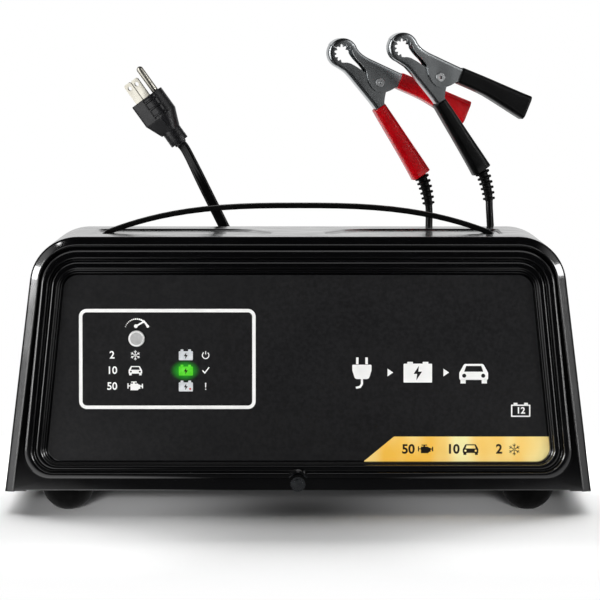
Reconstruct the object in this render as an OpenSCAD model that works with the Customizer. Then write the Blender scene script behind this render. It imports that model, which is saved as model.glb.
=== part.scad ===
// Car battery charger: sheet steel case with a carrying strap, a mains lead with its plug, and two
// clamp leads. Millimetres. The origin is the centre of the case's footprint on the surface it
// stands on: +X to the right, -Y to the front, +Z up.

/* [Case] */
// Width of the case across its bottom edges
case_w = 390; // [370:1:420]
// Depth of the case from the front hem to the rear hem
case_d = 200; // [190:1:220]
// Height of the case from its bottom edges to its top
case_h = 169.5; // [160:0.5:185]
// Height of the bottom edges over the surface
ground_gap = 14; // [12:0.5:16]
// Inward lean of the sides for each unit of height
side_lean = 0.12; // [0.1:0.01:0.14]
// Outer radius of the two top corners
corner_r = 32; // [28:1:36]
// Thickness of the cover sheet
sheet_t = 1.2; // [1:0.1:1.5]
// Width of the hem round the front and the rear opening
hem_w = 6.2; // [5.5:0.1:7]
// Depth of the hem
hem_d = 4.5; // [4.3:0.1:5.5]
// Width of the flange turned in under each side
turn_in = 14; // [12:1:17]
// Clearance between the cover and the sheets that slide into it
slide_gap = 0.3; // [0.2:0.1:0.6]

/* [Top recesses and strap] */
// Depth of the two recesses in the top
recess_depth = 2.5; // [1.5:0.1:3.5]
// Distance of a recess's inner tip from the middle
recess_inner = 18; // [14:1:24]
// Distance of a recess's outer end from the middle
recess_outer = 138; // [137:1:142]
// Half of a recess's depth, front to back
recess_half_d = 49; // [40:1:58]
// Width of the strap, front to back
strap_w = 20; // [16:1:24]
// Thickness of the strap
strap_t = 2.7; // [2.2:0.1:3.2]
// Half of the distance between the strap's legs
strap_half = 131.6; // [125:0.1:132]
// Rise of the arched strap over the recess's floor
strap_rise = 18.8; // [14:0.1:24]
// Travel of the strap when it is lifted
strap_travel = 4; // [2:0.5:6]
// Clearance of a strap leg in its slot
strap_gap = 0.6; // [0.4:0.1:1]

/* [Front panel] */
// Thickness of the front and rear panels
panel_t = 1.2; // [1:0.1:1.4]
// Height of the panel's raised rim over the case's bottom edge
rim_lift = 8.2; // [7.5:0.1:9]
// Gap between the rim and the hem at the top
rim_gap = 1.4; // [1:0.1:2]
// Outer radius of the rim's top corners
rim_top_r = 25.5; // [23:0.5:27]
// Outer radius of the rim's bottom corners
rim_bottom_r = 18; // [14:0.5:20]
// Width of the rim's bead
rim_w = 6.3; // [5:0.1:7]
// Width of the first ledge inside the rim
ledge_w = 6; // [4:0.1:7]
// Width of the second ledge
second_ledge_w = 2.5; // [2:0.1:4]
// Height of the rim's bead over the flange
rim_d = 3.5; // [3:0.1:4]
// Drop from the first ledge to the second
ledge_d = 3.5; // [2.5:0.1:4.5]
// Drop from the second ledge to the label
label_d = 2; // [1.5:0.1:3]
// Thickness of the printed overlay
overlay_t = 0.3; // [0.2:0.1:0.6]
// Margin between the overlay and the last step's wall
overlay_margin = 0.4; // [0.2:0.1:1.5]

/* [Controls] */
// Place of the rate button, from the middle
button_x = -107.5; // [-115:0.5:-102]
// Height of the rate button over the surface
button_z = 115.4; // [113:0.2:119]
// Diameter of the rate button
button_d = 10.6; // [8:0.1:12]
// Travel of the rate button
button_travel = 1; // [0.5:0.1:1.5]
// How far the button stands out of the overlay
button_proud = 1.3; // [1.2:0.1:2]
// Radial clearance of the button in its hole
button_gap = 0.25; // [0.15:0.05:0.4]
// Width of an indicator window
window_w = 8; // [6:0.1:9]
// Height of an indicator window
window_h = 4.8; // [3.5:0.1:5.5]
// Thickness of the control board
board_t = 1.6; // [1.2:0.1:2]
// Height of the standoffs that carry the board
standoff_h = 8.8; // [8:0.1:11]
// Diameter of a standoff
standoff_d = 6; // [5:0.1:7]

/* [Base and feet] */
// Thickness of the base pan
pan_t = 1.5; // [1.2:0.1:1.8]
// Height of the pan's front and rear flanges
pan_flange = 13; // [11:0.5:16]
// Radius of a rubber foot's dome
foot_r = 17.5; // [16.6:0.1:18.5]
// Radius of the flat that a foot stands on
foot_flat = 3.2; // [2:0.1:5]
// Distance of the feet from the case's sides
foot_inset_x = 41; // [36:1:50]
// Distance of the feet from the case's front and rear
foot_inset_y = 30; // [28:1:40]
// Shank diameter of the sheet metal screws
screw_d = 3.5; // [3:0.1:4.2]
// Diameter of a screw's washer face
washer_d = 9.8; // [8.5:0.1:11]
// Clearance on the diameter of a screw hole
screw_gap = 0.3; // [0.2:0.1:0.6]

/* [Transformer] */
// Place of the transformer, from the middle
transformer_x = 75; // [65:1:80]
// Width of the laminated core
core_w = 96; // [90:1:102]
// Height of the laminated core
core_h = 80; // [76:1:90]
// Stack depth of the laminated core
core_d = 50; // [44:1:56]
// Width of the core's outer legs and yokes
core_leg = 16; // [14:0.5:17]
// Width of the core's centre leg
centre_leg = 32; // [30:0.5:34]
// Wall of the bobbin
bobbin_t = 1.5; // [1:0.1:2]
// Build of the primary winding
primary_t = 5.5; // [4:0.1:6]
// Clearance between the wound parts
winding_gap = 0.2; // [0.1:0.05:0.3]

/* [Mains lead] */
// Width of the flat mains lead
ac_w = 7.6; // [7:0.1:8.5]
// Thickness of the flat mains lead
ac_t = 3.6; // [3.2:0.1:4]
// Length of the plug's straight part
plug_body_l = 17.7; // [16:0.1:22]
// Length of the plug's tapered part
plug_taper_l = 12; // [9:0.1:14]
// Length of the plug's collar
plug_collar_l = 10.7; // [8:0.1:13]
// Diameter of the plug's ground pin
ground_pin_d = 4.8; // [4.6:0.1:5]
// Length of the plug's ground pin
ground_pin_l = 21.4; // [20:0.1:23]
// Length of the plug's blades
blade_l = 16.2; // [15:0.1:18]
// Width of a blade
blade_w = 6.3; // [6:0.1:7]
// Thickness of a blade
blade_t = 1.5; // [1.4:0.1:1.7]
// Distance between the blades' middles
blade_pitch = 12.7; // [12:0.1:13]
// Distance of the ground pin from the blades' line
ground_offset = 11.9; // [11:0.1:12.5]

/* [Clamp leads] */
// Diameter of a clamp lead
dc_d = 5.2; // [4.6:0.1:5.4]
// Height of the lead exits over the surface
exit_z = 72; // [71:0.5:73]
// Gap between the turns of a coil
turn_gap = 0.6; // [0.5:0.1:0.8]

/* [Clamps] */
// Thickness of the jaws' steel
jaw_t = 1.5; // [1.2:0.1:1.7]
// Outer width of the moving jaw's channel
jaw_w = 13.6; // [13:0.1:15]
// Clearance between the fixed jaw and the moving jaw, each side
jaw_gap = 0.2; // [0.1:0.05:0.35]
// Outer radius of the jaws' round head
head_r = 10.7; // [10:0.1:11.5]
// Radius of the mouth at the roots of its teeth
mouth_r = 6.6; // [6:0.1:7.2]
// Height of a tooth
tooth_h = 1.7; // [1:0.1:2.2]
// Shank diameter of the rivet
rivet_d = 4.2; // [3.6:0.1:5]
// Diameter of the rivet's heads
rivet_head_d = 6.2; // [5.8:0.1:7.5]
// Radial running clearance of the rivet in the moving jaw
rivet_gap = 0.08; // [0.05:0.01:0.1]
// Wall of a grip
grip_t = 1.2; // [0.8:0.1:1.6]
// Clearance between a grip and the jaw inside it
grip_gap = 0.15; // [0.1:0.05:0.25]
// Length of a grip
grip_l = 55; // [50:1:60]
// Turn of each clamp about its upright axis
clamp_yaw = 14; // [10:1:18]

/* [Hidden] */
$fn = 48;
corner_steps = 8;

// Case
case_top = ground_gap + case_h;
lean_factor = sqrt(1 + side_lean * side_lean);
front_y = -case_d / 2;
panel_y = front_y + hem_d;          // front face of the front panel's flange
rear_y = -panel_y;                  // rear face of the rear panel
pan_z = ground_gap + sheet_t;       // underside of the base pan
floor_z = pan_z + pan_t;            // top of the base pan
tab_w = 20;
tab_h = 17;
rear_screw_z = case_top - hem_w - washer_d / 2 - 0.6;
tab_x = 120;
screw_r = screw_d / 2;
screw_hole_r = (screw_d + screw_gap) / 2;
screw_head = 4;
screw_reach = 8;

// Front panel
rim_top = case_top - hem_w - rim_gap;
rim_bottom = ground_gap + rim_lift;
rim_lean = side_lean - 0.02;        // the rim stands more upright than the case's sides
rim_half_top = half_width(rim_top) - hem_w * lean_factor;
top_step = 1.14;                    // the steps are wider at the top
bottom_step = 0.94;                 // and narrower at the bottom
top_round = 0.98;
bottom_round = 0.6;
rim_y = panel_y - rim_d;
ledge_y = panel_y;
second_y = ledge_y + ledge_d;
label_y = second_y + label_d;
label_inset = rim_w + ledge_w + second_ledge_w;
panel_back = label_y + panel_t;
skirt_lift = 0.6;
front_screw_z = floor_z + screw_hole_r + 0.05;
notch_r = washer_d / 2 + 1.6;

// Controls
window_cols = [button_x - 0.8, button_x + 32.8];
window_rows = [button_z - 11.1, button_z - 21.3, button_z - 31.9];
windows = [for (x = window_cols, z = window_rows) [x, z]];
lens_gap = 0.1;
lens_flange = 1;
board_w = 120;
board_h = 62;
board_x = button_x + 17.5;
board_z = button_z - 13.4;
board_y = panel_back + standoff_h;
standoffs = [for (i = [-1, 1], k = [-1, 1])
    [board_x + i * (board_w / 2 - 6), board_z + k * (board_h / 2 - 6)]];
button_collar = 1.5;
button_stop_gap = 0.1;
switch_h = 3.4;

// Strap
recess_z = case_top - recess_depth;
leg_bottom = recess_z - sheet_t - strap_travel;
arch_end_z = recess_z + strap_t / 2 + 0.05;
head_h = 3;
head_w = 8;

// Feet
foot_centre_z = sqrt(foot_r * foot_r - foot_flat * foot_flat);
foot_screw_depth = 9;
foot_x = case_w / 2 - foot_inset_x;
foot_y = case_d / 2 - foot_inset_y;
feet = [for (j = [-1, 1], i = [-1, 1]) [i * foot_x, j * foot_y]];
cover_screw_x = half_width(pan_z) - turn_in / 2 - 1;
cover_screw_y = foot_y - 10;

// Transformer
frame_t = 1.5;
frame_d = 40;
frame_foot = 14;
window_width = (core_w - centre_leg - 2 * core_leg) / 2;
window_height = core_h - 2 * core_leg;
flange_reach = window_width - 0.6;
coil_bottom = floor_z + core_leg + winding_gap;
coil_height = window_height - 2 * winding_gap;
sink_x0 = 45 - case_w / 2;
sink_x1 = sink_x0 + 90;
sink_y = 30;
sink_t = 4;
sink_h = 60;
sink_foot = 16;
sink_foot_t = 3;
fin_l = 20;
fin_t = 2;
fin_count = 7;
diode_d = 12.7;
diode_h = 5;
diode_z = 50;
diodes = [sink_x0 + 25, sink_x1 - 25];
breaker_x = -20;
breaker_y = 60;
breaker_size = [34, 16, 22];
terminal_x = 8;
breaker_screw_x = 24;
breaker_foot_t = 2;
chassis_screws = concat(
    [for (i = [-1, 1], j = [-1, 1])
        [transformer_x + i * (core_w / 2 + frame_t + frame_foot / 2), j * 12, frame_t]],
    [for (x = [sink_x0 + 10, sink_x1 - 10]) [x, sink_y - sink_foot / 2, sink_foot_t]],
    [for (i = [-1, 1]) [breaker_x + i * breaker_screw_x, breaker_y, breaker_foot_t]]);

// Leads. Each lead drops from its exit to the surface, winds into a flat coil behind the case, and
// rises again behind the case to its plug or clamp.
bush_back = 12;                     // how far a strain relief stands out behind the case
exit_y = case_d / 2 + bush_back;
ac_exit_x = -115;
red_exit_x = 0;
black_exit_x = 90;
ac_line_y = 150;                    // front tangent of the mains lead's coil
dc_line_y = 142;                    // front tangent of the clamp leads' coils
ac_coil_x = -70;
red_coil_x = 35;
black_coil_x = 125;
ac_turns = 5;
dc_turns = 6;
ac_pitch = ac_t + 2;
dc_pitch = dc_d + turn_gap;
ac_layer = ac_w + turn_gap;
dc_layer = dc_d + turn_gap;
ac_inner_r = 34;
dc_inner_r = 19.6;
ac_coil_r = ac_inner_r + ac_pitch * ac_turns / 2;
dc_coil_r = dc_inner_r + dc_pitch * dc_turns / 2;
loop_rings = 24;
coil_sides = 6;

// Plug
plug_tilt = -35.8;
plug_turn = -25.3;
plug_axis = [sin(plug_tilt), 0, cos(plug_tilt)];
plug_at = [-83.8, 143, 241];
plug_half_t = 9.3;
blade_x = -3.8;
plug_length = plug_collar_l + plug_taper_l + plug_body_l;
blade_hole_d = 3.2;
blade_hole_at = 4;

// Clamps
red_at = [56.8, 155, 284.2];
black_at = [99.2, 130, 288.1];
head_at = [-26.5, 21];
inner_w = jaw_w - 2 * jaw_t - 2 * jaw_gap;      // outer width of the fixed jaw's channel
tooth_angles = [for (k = [0:7]) 30 + k * 31];
tips_at = 138;                      // where the two halves of the head meet
tip_gap = 1.6;
upper_at = [14.8, 1];
upper_angle = -22.8;
lower_at = [0.85, -17.5];
lower_angle = -57.2;
handle_l = grip_l - 7;
boot_ribs = 6;
boot_pitch = 3.8;
boot_collar = 3;
boot_bend_from = 28;                // the boot's lean from the upright at its first rib
boot_bend_to = 2;                   // and at its last
boot_start = place(lower_at, lower_angle, grip_l, 0);
boot_neck = boot_start + boot_collar * heading(lower_angle);
boot_end = boot_point(boot_ribs);
end_run = 8;

// Routes, from the exit or the coil on
ac_drop_route = concat(
    [[-115, exit_y, exit_z], [-115, 118, exit_z], [-115, 130, 70], [-115, 141, 63], [-115, 148, 52],
     [-115, 150, 38], [-113, 150, 25], [-106, 150, 14], [-96, 150, 6], [-84, ac_line_y, ac_w / 2]],
    [[ac_coil_x - ac_w, ac_line_y, ac_w / 2]]);
ac_rise_route = concat(
    [[ac_coil_x + ac_w, ac_line_y, ac_w / 2 + ac_layer], [-57, ac_line_y, ac_w / 2 + ac_layer],
     [-45, 150, 14], [-34, 149, 21], [-27, 149, 32], [-25, 148, 46], [-24, 146, 72], [-26, 143, 102],
     [-32, 141, 131], [-41, 140, 158], [-53, 140, 182], [-66, 141, 208]],
    [plug_at - end_run * plug_axis, plug_at]);
red_drop_route = concat(
    [[0, exit_y, exit_z], [0, 116, exit_z], [0, 126, 70], [0, 134, 64], [0, 140, 56], [0, 142, 44],
     [0, 142, 30], [2, 142, 20], [8, 142, 10], [16, 142, 5], [26, dc_line_y, dc_d / 2]],
    [[red_coil_x - dc_d, dc_line_y, dc_d / 2]]);
red_rise_route = concat(
    [[red_coil_x + dc_d, dc_line_y, dc_d / 2 + dc_layer], [45, dc_line_y, dc_d / 2 + dc_layer],
     [55, 142, 11], [63, 142, 17], [68, 143, 25], [70, 144, 36], [71, 146, 60], [74, 149, 90],
     [79, 153, 120], [86, 158, 150], [90, 162, 170]],
    [clamp_point(red_at, boot_end) + end_run * boot_axis(), clamp_point(red_at, boot_end)]);
black_drop_route = [for (p = red_drop_route) p + [black_exit_x - red_exit_x, 0, 0]];
black_rise_route = concat(
    [[black_coil_x + dc_d, dc_line_y, dc_d / 2 + dc_layer], [135, dc_line_y, dc_d / 2 + dc_layer],
     [145, 142, 11], [153, 142, 17], [158, 142, 25], [160, 142, 36], [160, 142, 60], [156, 141, 90],
     [150, 140, 120], [142, 140, 150], [138, 140, 172]],
    [clamp_point(black_at, boot_end) + end_run * boot_axis(), clamp_point(black_at, boot_end)]);

// ---- Outlines ----

function unit(v) = v / norm(v);

// One corner of an outline, rounded to radius r between its neighbours a and b
function corner(p, a, b, r, steps) =
    r <= 0 ? [p] :
    let (
        u = unit(a - p),
        v = unit(b - p),
        half = acos(u * v) / 2,
        c = p + unit(u + v) * r / sin(half),
        s = p + u * r / tan(half) - c,
        from = atan2(s.y, s.x),
        turn = (cross(u, v) > 0 ? -1 : 1) * (180 - 2 * half)
    )
    [for (k = [0:steps]) c + r * [cos(from + turn * k / steps), sin(from + turn * k / steps)]];

function soften(pts, radii, steps = corner_steps) =
    let (n = len(pts))
    [for (i = [0:n - 1])
        for (q = corner(pts[i], pts[(i + n - 1) % n], pts[(i + 1) % n], radii[i], steps)) q];

function box_points(w, h, r) =
    soften([[-w / 2, -h / 2], [w / 2, -h / 2], [w / 2, h / 2], [-w / 2, h / 2]], [r, r, r, r], 4);

// Half width of the case at height z
function half_width(z) = case_w / 2 - side_lean * (z - ground_gap);

// The case's section, drawn in by d and cut off level at z0
function case_points(d, z0) =
    let (shift = d * lean_factor, top = case_top - d, r = corner_r - d)
    soften([[shift - half_width(z0), z0], [half_width(z0) - shift, z0],
            [half_width(top) - shift, top], [shift - half_width(top), top]], [0, 0, r, r]);

// The rim's outline, drawn in by d
function rim_half(z) = rim_half_top + rim_lean * (rim_top - z);
function rim_points(d) =
    let (
        shift = d * sqrt(1 + rim_lean * rim_lean),
        top = rim_top - d * top_step,
        low = rim_bottom + d * bottom_step,
        rt = rim_top_r - d * top_round,
        rb = rim_bottom_r - d * bottom_round
    )
    soften([[shift - rim_half(low), low], [rim_half(low) - shift, low],
            [rim_half(top) - shift, top], [shift - rim_half(top), top]], [rb, rb, rt, rt]);

// The outline of a top recess, grown by d; its inner end runs slantwise to a tip at the front
function recess_points(d) =
    soften([[recess_inner - d, -recess_half_d - d], [recess_outer + d, -recess_half_d - d],
            [recess_outer + d, recess_half_d + d], [recess_inner + 34 - d, recess_half_d + d],
            [recess_inner - d, -recess_half_d + 24 + d]], [5, 12, 12, 20, 10], 5);

// The strap's centre line: flat over the middle and steeper towards its ends
function strap_z(x) = arch_end_z + strap_rise * (1 - pow(abs(x) / strap_half, 2.8));

// Extrudes a profile drawn in x and z along Y, from y0 to y1
module slab(y0, y1) {
    translate([0, y1, 0]) rotate([90, 0, 0]) linear_extrude(y1 - y0) children();
}

// ---- Screws ----

// A hex washer head screw. Its head's seat is at the origin and its shank points along +Z.
module hex_screw(reach) {
    cylinder(h = reach, r = screw_r);
    translate([0, 0, -1]) cylinder(h = 1, r = washer_d / 2);
    translate([0, 0, -screw_head]) cylinder(h = screw_head - 0.8, r = washer_d * 0.36, $fn = 6);
}

// A pan head screw with a cross recess, laid out as the one above
module pan_screw(reach) {
    difference() {
        union() {
            cylinder(h = reach, r = screw_r);
            translate([0, 0, -2]) cylinder(h = 2, r = screw_d * 0.95);
        }
        for (a = [0, 90]) rotate([0, 0, a]) cube([screw_d * 1.1, 0.9, 2.4], center = true);
    }
}

// ---- Case ----

module cover() {
    inner_top = case_top - sheet_t;
    color("#17181a") difference() {
        union() {
            slab(front_y, -front_y) difference() {
                polygon(case_points(0, ground_gap));
                polygon(case_points(sheet_t, ground_gap + sheet_t));
                translate([-case_w / 2 + turn_in, ground_gap - 1])
                    square([case_w - 2 * turn_in, sheet_t + 2]);
            }
            for (y = [front_y, -front_y - hem_d])
                slab(y, y + hem_d) difference() {
                    polygon(case_points(0, ground_gap));
                    polygon(case_points(hem_w, ground_gap - 1));
                }
            for (i = [0, 1]) mirror([i, 0, 0])
                translate([0, 0, recess_z - sheet_t])
                    linear_extrude(recess_depth + sheet_t / 2) polygon(recess_points(sheet_t));
            for (i = [-1, 1], y = [rear_y - panel_t - sheet_t, panel_y + panel_t])
                translate([i * tab_x - tab_w / 2, y, inner_top - tab_h])
                    cube([tab_w, sheet_t, tab_h + sheet_t / 2]);
        }
        for (i = [0, 1]) mirror([i, 0, 0]) {
            translate([0, 0, recess_z]) linear_extrude(recess_depth + 1) polygon(recess_points(0));
            translate([strap_half - strap_t / 2 - strap_gap, -strap_w / 2 - strap_gap,
                       recess_z - sheet_t - 1])
                cube([strap_t + 2 * strap_gap, strap_w + 2 * strap_gap, sheet_t + 2]);
            for (j = [-1, 1])
                translate([cover_screw_x, j * cover_screw_y, ground_gap - 1])
                    cylinder(h = sheet_t + 2, r = screw_hole_r);
            translate([tab_x, rear_y + 1, rear_screw_z]) rotate([90, 0, 0]) cylinder(h = 6, r = screw_r);
        }
    }
}

// The plate that both panels are stamped from: it fills the cover behind the hem
module panel_plate_outline() {
    difference() {
        polygon(case_points(sheet_t + slide_gap, ground_gap + skirt_lift));
        for (i = [-1, 1])
            translate([i * half_width(ground_gap) - turn_in - slide_gap, 0])
                square([2 * (turn_in + slide_gap), ground_gap + sheet_t + slide_gap]);
    }
}

module front_panel() {
    steps = [[0, rim_y], [rim_w, ledge_y], [rim_w + ledge_w, second_y], [label_inset, label_y]];
    color("#1b1c1e") difference() {
        union() {
            slab(panel_y, panel_y + panel_t) difference() {
                panel_plate_outline();
                polygon(rim_points(panel_t));
            }
            slab(rim_y, panel_y + panel_t) difference() {
                polygon(rim_points(0));
                polygon(rim_points(panel_t));
            }
            for (k = [0:2]) {
                slab(steps[k][1], steps[k][1] + panel_t) difference() {
                    polygon(rim_points(steps[k][0]));
                    polygon(rim_points(steps[k + 1][0] + panel_t));
                }
                slab(min(steps[k][1], steps[k + 1][1]), max(steps[k][1], steps[k + 1][1]) + panel_t)
                    difference() {
                        polygon(rim_points(steps[k + 1][0]));
                        polygon(rim_points(steps[k + 1][0] + panel_t));
                    }
            }
            slab(label_y, panel_back) polygon(rim_points(label_inset));
            slab(rim_y, panel_y + panel_t) intersection() {
                translate([0, front_screw_z]) circle(notch_r + panel_t);
                translate([-case_w / 2, rim_bottom]) square([case_w, case_h]);
            }
        }
        slab(front_y - 1, panel_y) translate([0, front_screw_z]) circle(notch_r);
        slab(front_y - 1, 0) {
            translate([0, front_screw_z]) circle(screw_hole_r);
            translate([button_x, button_z]) circle(button_d / 2 + button_gap);
            for (w = windows) translate(w) square([window_w, window_h], center = true);
        }
    }
}

module rear_panel() {
    color("#1b1c1e") difference() {
        slab(rear_y - panel_t, rear_y) difference() {
            panel_plate_outline();
            for (row = [0:2], k = [0:15])
                translate([-135 + 18 * k, 112 + 18 * row]) square([12, 4], center = true);
            translate([ac_exit_x, exit_z]) circle(7.5);
            for (x = [red_exit_x, black_exit_x]) translate([x, exit_z]) circle(6.5);
            for (i = [-1, 1]) {
                translate([i * tab_x, floor_z + pan_flange / 2]) circle(screw_hole_r);
                translate([i * tab_x, rear_screw_z]) circle(screw_hole_r);
            }
        }
    }
}

module base_pan() {
    front = panel_y + panel_t;
    back = rear_y - panel_t;
    half = half_width(floor_z) - (sheet_t + slide_gap) * lean_factor;
    color("#2a2b2d") difference() {
        union() {
            translate([-half, front, pan_z]) cube([2 * half, back - front, pan_t]);
            for (y = [front, back - pan_t])
                translate([-half + turn_in, y, pan_z]) cube([2 * (half - turn_in), pan_t, pan_flange]);
        }
        for (p = feet) translate([p.x, p.y, pan_z - 1]) cylinder(h = pan_t + 2, r = screw_hole_r);
        for (i = [-1, 1], j = [-1, 1])
            translate([i * cover_screw_x, j * cover_screw_y, pan_z - 1])
                cylinder(h = pan_t + 2, r = screw_r);
        for (p = chassis_screws) translate([p.x, p.y, pan_z - 1]) cylinder(h = pan_t + 2, r = screw_r);
        for (i = [-1, 1]) slab(back - 5, back + 1)
            translate([i * tab_x, floor_z + pan_flange / 2]) circle(screw_r);
        slab(front - 1, front + 5) translate([0, front_screw_z]) circle(screw_r);
        for (i = [-2:2]) for (j = [-1, 1])
            translate([i * 40, j * 78, pan_z + pan_t / 2]) cube([26, 4, pan_t + 2], center = true);
    }
}

module control_label() {
    color("#1a1a1c") slab(label_y - overlay_t, label_y) difference() {
        polygon(rim_points(label_inset + panel_t + overlay_margin));
        translate([button_x, button_z]) circle(button_d / 2 + button_gap);
        for (w = windows) translate(w) square([window_w, window_h], center = true);
    }
}

module front_screw() {
    color("#c9cbce") translate([0, panel_y, front_screw_z]) rotate([-90, 0, 0]) hex_screw(screw_reach);
}

module rear_screws() {
    color("#c9cbce") for (i = [-1, 1], z = [floor_z + pan_flange / 2, rear_screw_z])
        translate([i * tab_x, rear_y, z]) rotate([90, 0, 0]) hex_screw(screw_reach);
}

module cover_screws() {
    color("#c9cbce") for (i = [-1, 1], j = [-1, 1])
        translate([i * cover_screw_x, j * cover_screw_y, ground_gap]) pan_screw(screw_reach);
}

// Screws that hold the transformer, the heat sink and the breaker to the pan
module chassis_screws() {
    color("#c9cbce") for (p = chassis_screws)
        translate([p.x, p.y, floor_z + p.z]) rotate([180, 0, 0]) pan_screw(p.z + pan_t);
}

// ---- Feet ----

module foot(p) {
    color("#141414") translate([p.x, p.y, 0]) difference() {
        intersection() {
            translate([0, 0, foot_centre_z]) sphere(foot_r);
            cylinder(h = pan_z, r = foot_r);
        }
        translate([0, 0, pan_z - foot_screw_depth]) cylinder(h = foot_screw_depth + 1, r = screw_r);
    }
}

module foot_front_left() { foot(feet[0]); }
module foot_front_right() { foot(feet[1]); }
module foot_rear_left() { foot(feet[2]); }
module foot_rear_right() { foot(feet[3]); }

module foot_screws() {
    color("#c9cbce") for (p = feet)
        translate([p.x, p.y, floor_z]) rotate([180, 0, 0]) pan_screw(foot_screw_depth + pan_t);
}

// ---- Strap ----

module carrying_strap() {
    count = 26;
    inner = strap_half - strap_t / 2;
    outer = strap_half + strap_t / 2;
    xs = [for (k = [0:count]) inner * (2 * k / count - 1)];
    leg = [[outer, arch_end_z], [outer, leg_bottom], [strap_half + head_w / 2, leg_bottom],
           [strap_half + head_w / 2, leg_bottom - head_h], [strap_half - head_w / 2, leg_bottom - head_h],
           [strap_half - head_w / 2, leg_bottom], [inner, leg_bottom]];
    color("#151515") slab(-strap_w / 2, strap_w / 2) polygon(concat(
        [for (x = xs) [x, strap_z(x) + strap_t / 2]], leg,
        [for (k = [count:-1:0]) [xs[k], strap_z(xs[k]) - strap_t / 2]],
        [for (k = [len(leg) - 1:-1:0]) [-leg[k].x, leg[k].y]]));
}

// ---- Controls ----

module rate_button() {
    cap_y = label_y - overlay_t - button_proud;
    collar_y = panel_back + button_stop_gap;
    color("#b5b5b5") translate([button_x, 0, button_z]) rotate([-90, 0, 0]) {
        translate([0, 0, cap_y]) cylinder(h = collar_y - cap_y + button_collar, r = button_d / 2);
        translate([0, 0, collar_y]) cylinder(h = button_collar, r = button_d / 2 + 1.5);
        translate([0, 0, collar_y])
            cylinder(h = board_y - switch_h - button_travel - 0.1 - collar_y, r = 2);
    }
}

module rate_switch() {
    color("#3a3a3a") translate([button_x, board_y, button_z]) {
        translate([-3, -switch_h + 1, -3]) cube([6, switch_h - 1, 6]);
        rotate([90, 0, 0]) cylinder(h = switch_h, r = 1.7);
    }
}

module indicator_lenses() {
    color("#8fae8f") for (w = windows) {
        slab(label_y - overlay_t, panel_back + 0.1) translate(w)
            square([window_w - 2 * lens_gap, window_h - 2 * lens_gap], center = true);
        slab(panel_back, panel_back + 0.8) translate(w)
            square([window_w + 2 * lens_flange, window_h + 2 * lens_flange], center = true);
    }
}

module led_lamps() {
    color("#d8e8d8") for (w = windows) translate([w.x, board_y, w.y]) rotate([90, 0, 0]) {
        cylinder(h = 2, r = 2);
        cylinder(h = standoff_h - 0.9, r = 1.5);
    }
}

module control_board() {
    color("#1d5c33") slab(board_y, board_y + board_t) difference() {
        translate([board_x, board_z]) polygon(box_points(board_w, board_h, 2));
        for (p = standoffs) translate(p) circle(screw_hole_r);
    }
}

module board_standoffs() {
    color("#c4b070") for (p = standoffs) slab(panel_back, board_y) difference() {
        translate(p) circle(standoff_d / 2);
        translate(p) circle(screw_r);
    }
}

module board_screws() {
    color("#c9cbce") for (p = standoffs)
        translate([p.x, board_y + board_t, p.y]) rotate([90, 0, 0]) pan_screw(7);
}

module relay() {
    color("#20242c") translate([board_x - board_w / 2 + 14, board_y + board_t, board_z - 4])
        cube([28, 20, 22]);
}

// ---- Transformer and rectifier ----

module transformer_core() {
    color("#5a5d62") translate([transformer_x, 0, floor_z]) difference() {
        translate([-core_w / 2, -core_d / 2, 0]) cube([core_w, core_d, core_h]);
        for (i = [0, 1]) mirror([i, 0, 0])
            translate([centre_leg / 2, -core_d / 2 - 1, core_leg])
                cube([window_width, core_d + 2, window_height]);
    }
}

module transformer_frame() {
    reach = core_w / 2 + frame_t;
    color("#9a9da2") translate([transformer_x, 0, floor_z]) difference() {
        slab(-frame_d / 2, frame_d / 2) difference() {
            union() {
                translate([-reach, 0]) square([2 * reach, core_h + frame_t]);
                translate([-reach - frame_foot, 0]) square([2 * (reach + frame_foot), frame_t]);
            }
            translate([-core_w / 2, -1]) square([core_w, core_h + 1]);
        }
        for (i = [-1, 1], j = [-1, 1])
            translate([i * (reach + frame_foot / 2), j * 12, -1]) cylinder(h = frame_t + 2, r = screw_hole_r);
    }
}

// A rectangular tube round the centre leg, from inner clearance a to outer clearance b
module winding(a, b, z0, h) {
    translate([transformer_x, 0, z0]) linear_extrude(h) difference() {
        polygon(box_points(centre_leg + 2 * b, core_d + 2 * b, 3));
        square([centre_leg + 2 * a, core_d + 2 * a], center = true);
    }
}

module bobbin() {
    color("#e6e2d4") {
        winding(winding_gap, winding_gap + bobbin_t, coil_bottom, coil_height);
        for (z = [coil_bottom, coil_bottom + coil_height - bobbin_t])
            winding(winding_gap, flange_reach, z, bobbin_t);
    }
}

module primary_winding() {
    inner = 2 * winding_gap + bobbin_t;
    color("#a8562a") winding(inner, inner + primary_t, coil_bottom + bobbin_t, coil_height - 2 * bobbin_t);
}

module secondary_winding() {
    inner = 3 * winding_gap + bobbin_t + primary_t;
    color("#b8683a")
        winding(inner, flange_reach - 0.8, coil_bottom + bobbin_t, coil_height - 2 * bobbin_t);
}

module heat_sink() {
    color("#b9bcc0") difference() {
        union() {
            translate([sink_x0, sink_y, floor_z]) cube([sink_x1 - sink_x0, sink_t, sink_h]);
            for (k = [0:fin_count - 1])
                translate([sink_x0 + k * (sink_x1 - sink_x0 - fin_t) / (fin_count - 1),
                           sink_y + sink_t / 2, floor_z])
                    cube([fin_t, fin_l + sink_t / 2, sink_h]);
            translate([sink_x0, sink_y - sink_foot, floor_z])
                cube([sink_x1 - sink_x0, sink_foot + 1, sink_foot_t]);
        }
        for (x = [sink_x0 + 10, sink_x1 - 10]) translate([x, sink_y - sink_foot / 2, floor_z - 1])
            cylinder(h = sink_foot_t + 2, r = screw_hole_r);
    }
}

module rectifier_diodes() {
    color("#8c8f94") for (x = diodes) translate([x, sink_y, diode_z]) rotate([90, 0, 0]) {
        cylinder(h = diode_h, r = diode_d / 2);
        cylinder(h = diode_h + 6, r = 1.5);
    }
}

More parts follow.
